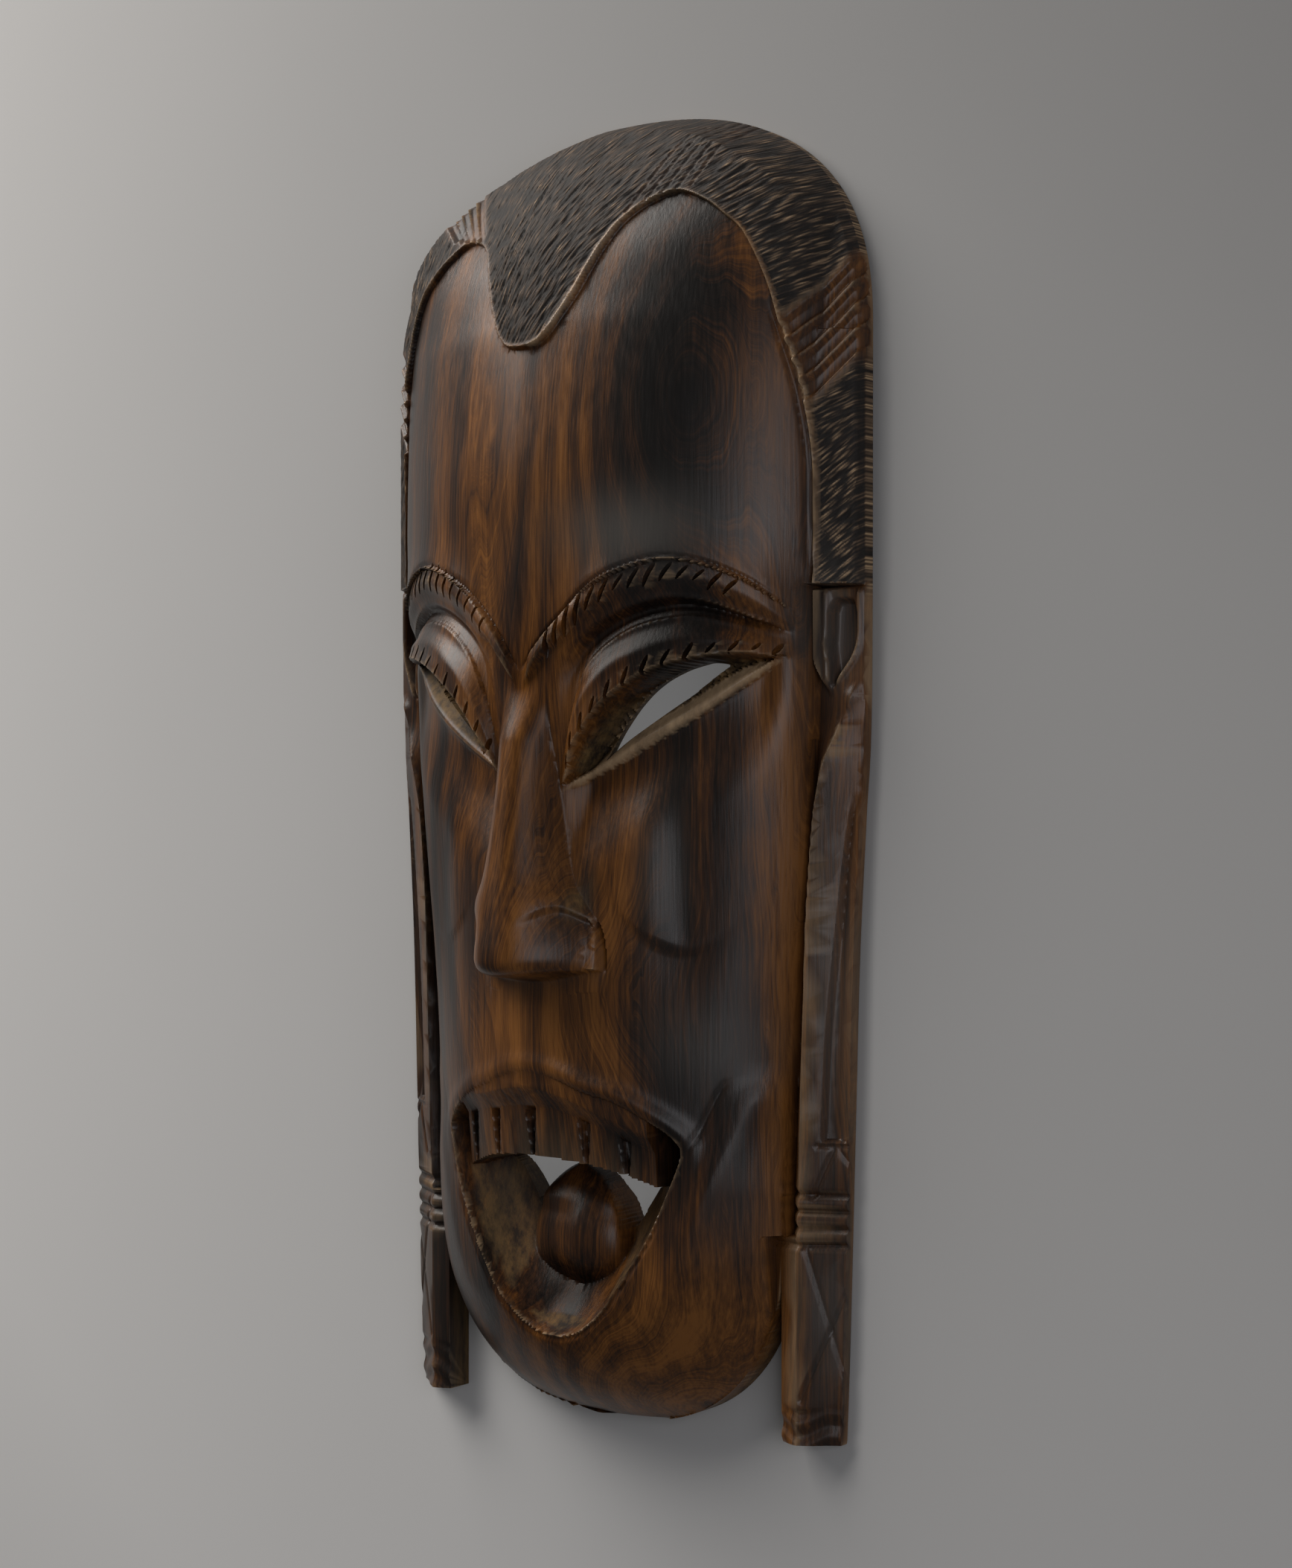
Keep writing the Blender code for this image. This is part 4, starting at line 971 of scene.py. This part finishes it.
def waxed_rosewood():
    """Dark tropical heartwood, knife-carved and waxed: dark and orange-brown rings that run up the
    block, fine vertical pores, a soft gloss on what hands reach, and dull bare wood in the cuts."""
    material = bpy.data.materials.new("waxed_rosewood")
    material.use_nodes = True
    tree = material.node_tree
    shader = tree.nodes["Principled BSDF"]
    place = node(tree, "ShaderNodeTexCoord")["Object"]
    here = {name: node(tree, "ShaderNodeAttribute", attribute_name=name)["Fac"] for name in WRITTEN}
    # Growth rings wander slowly: broad zones 25 mm wide, with streaks of about 2 mm in them
    drift_at = node(tree, "ShaderNodeMapping", {"Vector": place, "Scale": WANDER})[0]
    drift = node(tree, "ShaderNodeTexNoise", {"Vector": drift_at, "Scale": 1.0, "Detail": 3.0})[0]
    rings = node(tree, "ShaderNodeMath", {0: drift, 1: RING_DRIFT, 2: here["rings"]},
                 operation="MULTIPLY_ADD")[0]
    ring_at = node(tree, "ShaderNodeCombineXYZ", {0: rings})[0]
    zones = node(tree, "ShaderNodeTexWave", {"Vector": ring_at, "Scale": ZONE_SCALE, "Distortion": 0.0},
                 wave_type="BANDS", bands_direction="X")["Fac"]
    streaks = node(tree, "ShaderNodeTexNoise",
                   {"W": rings, "Scale": STREAKS_IN_RING, "Detail": 6.0, "Roughness": 0.85},
                   noise_dimensions="1D")[0]
    # Pores, fibres and a cloudy mottle, all many times longer up the block than wide
    pores_at = node(tree, "ShaderNodeMapping", {"Vector": place, "Scale": (1.0, 0.03, 1.0)})[0]
    pores = node(tree, "ShaderNodeTexNoise", {"Vector": pores_at, "Scale": 1 / PORE, "Detail": 4.0})[0]
    fibres_at = node(tree, "ShaderNodeMapping", {"Vector": place, "Scale": (1.0, 0.12, 1.0)})[0]
    fibres = node(tree, "ShaderNodeTexNoise",
                  {"Vector": fibres_at, "Scale": 1 / FIBRE, "Detail": 8.0, "Roughness": 0.72})[0]
    mottle = node(tree, "ShaderNodeTexNoise",
                  {"Vector": fibres_at, "Scale": 1 / MOTTLE, "Detail": 5.0, "Roughness": 0.6})[0]
    tone = here["tone"]
    for pattern, share in ((zones, ZONES_SHARE), (streaks, STREAKS_SHARE), (fibres, FIBRES_SHARE),
                           (pores, PORES_SHARE), (mottle, MOTTLE_SHARE)):
        tone = node(tree, "ShaderNodeMath", {0: pattern, 1: share, 2: tone}, operation="MULTIPLY_ADD")[0]
    tone = node(tree, "ShaderNodeMath", {0: tone, 1: TONE_MIDDLE}, operation="SUBTRACT")[0]
    heartwood = node(tree, "ShaderNodeValToRGB", {0: tone}, HEARTWOOD_COLOURS)[0]
    # Cut hair: tan tops and dark grooves, wear and painted highlight on the tops, dust and painted shade in
    # the grooves
    fine = combed_cells(tree, place, here["comb"], FINE_SPACING, FINE_LENGTH, (1.3, 4.1, 0.0))
    cuts = node(tree, "ShaderNodeMath", {0: here["sunk"], 1: 0.45, 2: fine}, operation="MULTIPLY_ADD")[0]
    hair_wear_dust_and_painted_light = node(tree, "ShaderNodeValToRGB", {0: cuts}, HAIR_WEAR_DUST_AND_PAINTED_LIGHT_COLOURS)[0]
    bare = node(tree, "ShaderNodeValToRGB", {0: fibres}, BARE_COLOURS)[0]
    # Painted shade: the recesses are darkened towards near-black
    shade = node(tree, "ShaderNodeMath", {0: here["painted_recess_shade"], 1: 0.35}, operation="MULTIPLY")[0]
    # Edges are painted pale, as wood rubbed down by hands and as painted highlight, in the hair only
    # between the cuts
    rubbed_and_highlight = node(tree, "ShaderNodeMath", {0: fibres, 1: 1.7, 2: -0.12}, operation="MULTIPLY_ADD")[0]
    rubbed_and_highlight = node(tree, "ShaderNodeMath", {0: rubbed_and_highlight, 1: here["wear_and_highlight"]}, operation="MULTIPLY")[0]
    in_cuts = node(tree, "ShaderNodeMath", {0: cuts, 1: 1.5}, operation="MULTIPLY", use_clamp=True)[0]
    in_cuts = node(tree, "ShaderNodeMath", {0: in_cuts, 1: here["hair"]}, operation="MULTIPLY")[0]
    on_top = node(tree, "ShaderNodeMath", {0: 1.0, 1: in_cuts}, operation="SUBTRACT", use_clamp=True)[0]
    rubbed_and_highlight = node(tree, "ShaderNodeMath", {0: rubbed_and_highlight, 1: on_top}, operation="MULTIPLY")[0]
    base = heartwood
    for share, over in ((here["hair"], hair_wear_dust_and_painted_light), (here["raw"], bare), (shade, colour(PAINTED_SHADE_COLOUR)),
                        (here["painted_sheen"], colour(PAINTED_SHEEN_COLOUR)), (rubbed_and_highlight, colour(RUBBED_AND_HIGHLIGHT_COLOUR))):
        base = node(tree, "ShaderNodeMix", {0: share, 6: base, 7: over}, data_type="RGBA")[2]
    shine = node(tree, "ShaderNodeMath", {0: here["dull"], 1: -SHINE_LOST, 2: SHINE},
                 operation="MULTIPLY_ADD")[0]
    matt = node(tree, "ShaderNodeMath", {0: here["hair"], 1: here["raw"]}, operation="MAXIMUM")[0]
    rough = node(tree, "ShaderNodeMath", {0: matt, 1: ROUGH_CUTS, 2: ROUGH_WAXED},
                 operation="MULTIPLY_ADD")[0]
    rough = node(tree, "ShaderNodeMath", {0: pores, 1: ROUGH_PORES, 2: rough}, operation="MULTIPLY_ADD")[0]
    combed = node(tree, "ShaderNodeMath", {0: fine, 1: here["hair"]}, operation="MULTIPLY")[0]
    surface = node(tree, "ShaderNodeMath", {0: combed, 1: -4.0, 2: pores}, operation="MULTIPLY_ADD")[0]
    bump = node(tree, "ShaderNodeBump", {"Strength": 0.5, "Distance": 0.2 * MM, "Height": surface})[0]
    # An export that can't keep the varying shine falls back on the shine of waxed wood
    shader.inputs["Specular IOR Level"].default_value = SHINE
    for socket, source in (("Base Color", base), ("Specular IOR Level", shine), ("Roughness", rough),
                           ("Normal", bump)):
        tree.links.new(source, shader.inputs[socket])
    return material


def floor_with_painted_falloff():
    """A studio backdrop, laid flat: matt grey with painted light falloff, from pale to dark across it."""
    material = bpy.data.materials.new("backdrop_painted_falloff")
    material.use_nodes = True
    tree = material.node_tree
    shader = tree.nodes["Principled BSDF"]
    place = node(tree, "ShaderNodeTexCoord")["Object"]
    # Painted light falloff: the paint darkens across the backdrop
    across = node(tree, "ShaderNodeVectorMath", {0: place, 1: SHADE_TOWARDS},
                  operation="DOT_PRODUCT")["Value"]
    mottle = node(tree, "ShaderNodeTexNoise", {"Vector": place, "Scale": 4.0, "Detail": 4.0})[0]
    shade = node(tree, "ShaderNodeMath", {0: mottle, 1: 0.06, 2: across}, operation="MULTIPLY_ADD")[0]
    shade = node(tree, "ShaderNodeMath", {0: shade, 1: SHADE_START})[0]
    paint = node(tree, "ShaderNodeValToRGB", {0: shade}, BACKDROP_FALLOFF_COLOURS)[0]
    tree.links.new(paint, shader.inputs["Base Color"])
    shader.inputs["Roughness"].default_value = 0.8
    return material


def blurred(field, reach):
    """The field averaged over a window that reaches so many cells each way."""
    for axis in (0, 1):
        before = np.take(field, [0] * (reach + 1), axis)
        after = np.take(field, [-1] * reach, axis)
        padded = np.concatenate([before, field, after], axis)
        total = np.cumsum(padded, axis)
        size = field.shape[axis]
        upper = np.take(total, np.arange(2 * reach + 1, 2 * reach + 1 + size), axis)
        lower = np.take(total, np.arange(size), axis)
        field = (upper - lower) / (2 * reach + 1)
    return field


def nick_path(name, side, line, above, start, end):
    """A path over the carved front, a little above or below one of the drawn lines."""
    a = np.linspace(start, end, 40)
    x = side * a
    down = float(eyes_down(np.array([side * 50.0]))[0])
    y = level(a, line) - down + above
    z = front_height(x, y, beside(np.abs(x), y, HAIR_LINE), -beside(np.abs(x), y, LIP_LINE))
    data = bpy.data.curves.new(name, "CURVE")
    data.dimensions = "3D"
    path = data.splines.new("POLY")
    path.points.add(len(a) - 1)
    for point, place in zip(path.points, zip(x * ACROSS, y * UP, z * OUT)):
        point.co = (*place, 1.0)
    piece = bpy.data.objects.new(name, data)
    bpy.context.scene.collection.objects.link(piece)
    return piece


def carve_mask(material):
    """Cuts the front, the outline, the hollow, the eyes and the nicks, and marks the surface."""
    side = DRAWN_WIDTH / 2
    xs = np.arange(-side - GRID_SPARE, side + GRID_SPARE + 0.5, GRID_ACROSS)
    ys = np.concatenate([np.arange(-TOP - GRID_SPARE, FINE_ABOVE, GRID_COARSE),
                         np.arange(FINE_ABOVE, TOP + GRID_SPARE + 0.5, GRID_FINE)])
    x, y = np.meshgrid(xs, ys)
    y_face = y + lean(x, y)
    hair_inward = beside(np.abs(x), y_face, HAIR_LINE)
    lip_inside = -beside(np.abs(x), y_face, LIP_LINE)
    heights = front_height(x, y_face, hair_inward, lip_inside)
    mesh = block_mesh("carved_front", xs, ys, heights, -BELOW)
    ear_top = np.where(x > 0, EAR_TOP_RIGHT, EAR_TOP_LEFT)
    stroked = ease((hair_inward - 1) / 1.5) * (y > ear_top + 1)
    stroked = stroked * (1 - all_bundles(x, y_face)[1])
    combed = stroked * ease((edge_distance(x, y_face) - 1) / EDGE_PLAIN)
    spare = len(mesh.vertices) - x.size
    for name, values in (("hair", combed), ("comb", comb_angle(x, y_face))):
        attribute = mesh.attributes.new(name, "FLOAT", "POINT")
        padded = np.concatenate([values.ravel(), np.zeros(spare)])
        attribute.data.foreach_set("value", padded.astype(np.float32))
    mask = add_object("carved_front", mesh)
    use_tree(mask, strokes_tree(material), {"Spacing": STROKE_SPACING, "Length": STROKE_LENGTH,
                                            "Depth": STROKE_DEPTH, "Seed": STROKE_SEED})
    thinned = mask.modifiers.new("fewer_faces", "DECIMATE")
    thinned.ratio = FRONT_TRIANGLES / (2 * len(mesh.polygons))
    mask = plain_copy(mask, "carved_front")
    over = mask_high[2] + ABOVE
    cutters = [prism("outline", block_outline(), 0, over),
               prism("chin_gap", gap_outline(), -1.5 * BELOW, over)]
    hollow_x = np.arange(-side - HOLLOW_SPARE, side + HOLLOW_SPARE + 0.1, HOLLOW_STEP)
    hollow_y = np.arange(-TOP - HOLLOW_SPARE, TOP + HOLLOW_SPARE + 0.1, HOLLOW_STEP)
    under = hollow_height(*np.meshgrid(hollow_x, hollow_y))
    hollow = block_mesh("back_hollow", hollow_x, hollow_y, under, -2 * BELOW)
    cutters.append(add_object("back_hollow", hollow))
    for hand, name in ((1, "right_slit"), (-1, "left_slit")):
        slant = hand * SLIT_SLANT
        cutters.append(prism(name, slit_outline(hand), -BELOW, over, slant, -slant * SLIT_LEVEL * OUT))
    nicks = nicks_tree(material)
    for number, row in enumerate(NICK_ROWS):
        name, hand, line, above, start, end, count, first, last, long, tilt = row
        path = nick_path(name + "_path", hand, line, above, start, end)
        use_tree(path, nicks, {"Count": count, "Width": NICK_WIDE, "Length": long * MM,
                               "Depth": 2 * NICK_DEEP, "First Turn": math.radians(first - 90),
                               "Last Turn": math.radians(last - 90), "Tilt": tilt, "Seed": number})
        cutters.append(plain_copy(path, name))
    for cutter in cutters:
        cut(mask, cutter, "INTERSECT" if cutter.name == "outline" else "DIFFERENCE")
    mask = plain_copy(mask, "carved_mask")
    for cutter in cutters:
        bpy.data.objects.remove(cutter)
    # Painted shade: how far each place lies below its blurred surroundings
    recess = np.clip((blurred(blurred(heights, 7), 7) - heights) / 5, 0, 1)
    rubbed_and_highlight = rubbed_and_highlight_places(x, y, y_face, hair_inward, combed)
    finish_surface(mask, xs, ys, heights, stroked, recess, lip_inside, rubbed_and_highlight)
    return mask


def rubbed_and_highlight_places(x, y, y_face, hair_inward, combed):
    """Crests that are painted pale, as rubbed wood and painted highlight: hairline, bevel under the eye,
    ridge of the lobe and hair.
    """
    kept_dark = 1 - 0.8 * hump(x - 64, 26) * ease((y_face - 185) / 15)
    hairline = RUBBED_AND_HIGHLIGHT_HAIRLINE * hump(hair_inward - 0.7, 0.7) * (x > 4) * ease((y_face - 80) / 10)
    hairline = hairline * kept_dark
    ridge = RUBBED_AND_HIGHLIGHT_RIDGE * hump(x - level(y, RIDGE_LINE), 0.8) * (y < 20)
    in_hair = RUBBED_AND_HIGHLIGHT_HAIR * combed * ease((x - RUBBED_AND_HIGHLIGHT_BEYOND) / 40)
    return np.maximum.reduce([hairline, strip_under_eyes(x, y), ridge, in_hair])


def finish_surface(mask, xs, ys, heights, stroked, recess, lip_inside, rubbed_and_highlight):
    """Writes where the wood is hair, pale with wear and painted highlight, in painted shade, under painted
    sheen or bare, for the material to read.
    """
    mesh = mask.data
    count = len(mesh.vertices)
    at = np.zeros(count * 3)
    mesh.vertices.foreach_get("co", at)
    at = at.reshape(-1, 3)
    normals = np.zeros(count * 3)
    mesh.vertices.foreach_get("normal", normals)
    normals = normals.reshape(-1, 3)
    drawn_x, drawn_y, drawn_z = at[:, 0] / ACROSS, at[:, 1] / UP, at[:, 2] / OUT
    column = np.clip(np.searchsorted(xs, drawn_x), 0, len(xs) - 1)
    row = np.clip(np.searchsorted(ys, drawn_y), 0, len(ys) - 1)
    behind = (drawn_z < heights[row, column] - 6) & (normals[:, 2] < -0.05)
    edges = np.zeros(len(mesh.edges) * 2, dtype=int)
    mesh.edges.foreach_get("vertices", edges)
    a, b = edges.reshape(-1, 2).T
    toward = at[b] - at[a]
    length = np.maximum(np.linalg.norm(toward, axis=1), 1e-6)
    bend_a = -np.einsum("ij,ij->i", toward, normals[a]) / length
    bend_b = np.einsum("ij,ij->i", toward, normals[b]) / length
    total = np.bincount(a, bend_a, count) + np.bincount(b, bend_b, count)
    shares = np.bincount(a, minlength=count) + np.bincount(b, minlength=count)
    bend = total / np.maximum(shares, 1)
    for _ in range(2):
        spread = np.bincount(a, bend[b], count) + np.bincount(b, bend[a], count)
        bend = 0.5 * bend + 0.5 * spread / np.maximum(shares, 1)
    edges_wear_and_highlight = np.where(lip_inside[row, column] > 1, WEAR_AND_HIGHLIGHT_IN_MOUTH, 1)
    on_lobe = (np.abs(drawn_x) > LOBE_BEYOND) & (drawn_y < LOBE_BELOW)
    edges_wear_and_highlight = np.where(on_lobe, WEAR_AND_HIGHLIGHT_ON_LOBES, edges_wear_and_highlight)
    # Sharp bends and rubbed crests are painted pale, as wear and as painted highlight
    wear_and_highlight = np.maximum((bend - WEAR_AND_HIGHLIGHT_START) * WEAR_AND_HIGHLIGHT_GAIN * edges_wear_and_highlight, rubbed_and_highlight[row, column])
    # Painted shade in the recesses and in hollow bends
    shade = np.clip(recess[row, column] + np.clip(-bend * 2.5, 0, 0.6), 0, 1)
    bare = under_eyes(drawn_x, drawn_y) + nose_cuts(drawn_x, drawn_y)
    bare = bare + 0.6 * mouth_floor(drawn_x, drawn_y, lip_inside[row, column])
    front = {
        "hair": stroked[row, column],
        "wear_and_highlight": np.clip(wear_and_highlight, 0, 1),
        # Painted sheen: grey patches
        "painted_sheen": patches(PAINTED_SHEEN_PATCHES, drawn_x, drawn_y),
        "dull": patches(DULL_PATCHES, drawn_x, drawn_y),
        "painted_recess_shade": shade * (1 - 0.7 * ease((drawn_x - 92) / 8)),
        "raw": bare,
    }
    values = {name: np.where(behind, ON_THE_BACK[name], amounts) for name, amounts in front.items()}
    values["tone"], values["rings"] = wood_figure(drawn_x, drawn_y)
    values["comb"] = comb_angle(drawn_x, drawn_y)
    sunk = np.zeros(count)
    mesh.attributes["sunk"].data.foreach_get("value", sunk)
    values["sunk"] = np.clip(sunk * SUNK_GAIN, 0, 1)
    for name in ("hair", "comb", "sunk"):
        mesh.attributes.remove(mesh.attributes[name])
    for name in WRITTEN:
        attribute = mesh.attributes.new(name, "FLOAT", "POINT")
        attribute.data.foreach_set("value", values[name].astype(np.float32))


def patches(spots, x, y):
    """The sum of soft oval spots: middle, size and how much."""
    total = 0
    for (mid_x, mid_y), (wide, high), more in spots:
        total = total + more * hump(x - mid_x, wide) * hump(y - mid_y, high)
    return total


def wood_figure(x, y):
    """How light the wood is at each place, and which growth ring lies there."""
    tone = level(x, TONE_LINE) + patches(TONE_PATCHES, x, y)
    return tone, x / RING_WIDE + patches(RING_BULGES, x, y)


def under_eyes(x, y):
    """Where the rough wood lies under the lids."""
    a = np.abs(x)
    y = y + eyes_down(x)
    open_part = ease((level(a, LID_LINE) - 1 - y) / 2) * ease((y - level(a, CHEEK_LINE) - 3) / 2)
    return open_part * ease((a - EYE_START) / 8) * ease((EYE_END - a) / 8)


def strip_under_eyes(x, y):
    """The bare bevel along the lower edge of the right eye."""
    a = np.abs(x)
    y = y + eyes_down(x)
    strip = ease((level(a, SLIT_LINE) - 0.5 - y) / 1.5) * ease((y - level(a, CHEEK_LINE) + 1) / 1.5)
    return strip * ease((a - EYE_START) / 8) * ease((EYE_END - a) / 8) * (x > 0)


def nose_cuts(x, y):
    """The splintered wood that a chisel left over the right wing of the nose."""
    at_x, at_y = NOSE_CUT
    return 0.8 * hump(x - at_x - 0.15 * (y - at_y), 3.5) * hump(y - at_y, 8)


def mouth_floor(x, y, lip_inside):
    """Where the mouth was hollowed with a gouge, under the teeth and round the tongue."""
    tongue_here = (np.abs(x) < level(y, TONGUE_WIDE)) & (y > TONGUE_WIDE[0][0]) & (y < TONGUE_WIDE[-1][0])
    return (lip_inside > 3) & (y < level(x, TEETH_BOTTOM) - 1) & ~tongue_here


def area_light(name, place, size, power, tint):
    """A square soft light that faces the middle of the mask."""
    data = bpy.data.lights.new(name, "AREA")
    data.size = size
    data.energy = power
    data.color = colour(tint)[:3]
    lamp = bpy.data.objects.new(name, data)
    bpy.context.scene.collection.objects.link(lamp)
    lamp.location = place
    x, y, z = place
    lamp.rotation_euler = (math.atan2(math.hypot(x, y), z), 0, math.atan2(-y, -x) - math.pi / 2)
    return lamp


def light_and_camera():
    """Soft window light, dim walls and the photograph's point of view."""
    scene = bpy.context.scene
    scene.view_settings.view_transform = "Standard"
    world = bpy.data.worlds.new("studio_walls")
    world.use_nodes = True
    background = world.node_tree.nodes["Background"]
    background.inputs[0].default_value = colour(WALLS_COLOUR)
    background.inputs[1].default_value = WALLS_GLOW
    scene.world = world
    lamps = [area_light(*light) for light in LIGHTS]
    # The last one faces down under the hollow and lights the floor that the eyes and mouth show
    glow = lamps[-1]
    glow.data.shape = "RECTANGLE"
    glow.data.size_y = BEHIND_LONG
    glow.rotation_euler = (0, 0, 0)
    glow.visible_camera = False
    data = bpy.data.cameras.new("photo_camera")
    data.sensor_width = SENSOR_WIDE
    data.lens = CAMERA_LENS
    camera = bpy.data.objects.new("photo_camera", data)
    scene.collection.objects.link(camera)
    aim_x, aim_y = CAMERA_AIM
    back = CAMERA_AWAY * math.sin(CAMERA_TURN)
    camera.location = (aim_x + back, aim_y, CAMERA_AWAY * math.cos(CAMERA_TURN))
    camera.rotation_euler = (0, CAMERA_TURN, 0)
    scene.camera = camera


def lay_floor():
    """The backdrop that the mask lies on."""
    below = mask_low[2] - FLOOR_BELOW
    corners = [(x * FLOOR_HALF, y * FLOOR_HALF, below) for x, y in ((-1, -1), (1, -1), (1, 1), (-1, 1))]
    mesh = bpy.data.meshes.new("floor")
    mesh.from_pydata(corners, [], [(0, 1, 2, 3)])
    floor = add_object("floor", mesh)
    mesh.materials.append(floor_with_painted_falloff())


light_and_camera()
lay_floor()
rosewood = waxed_rosewood()
mask = carve_mask(rosewood)
mask.data.materials.clear()
mask.data.materials.append(rosewood)
mask.data.shade_smooth()
mask.data.set_sharp_from_angle(angle=math.radians(40))
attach(mask, "root")
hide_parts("mask")
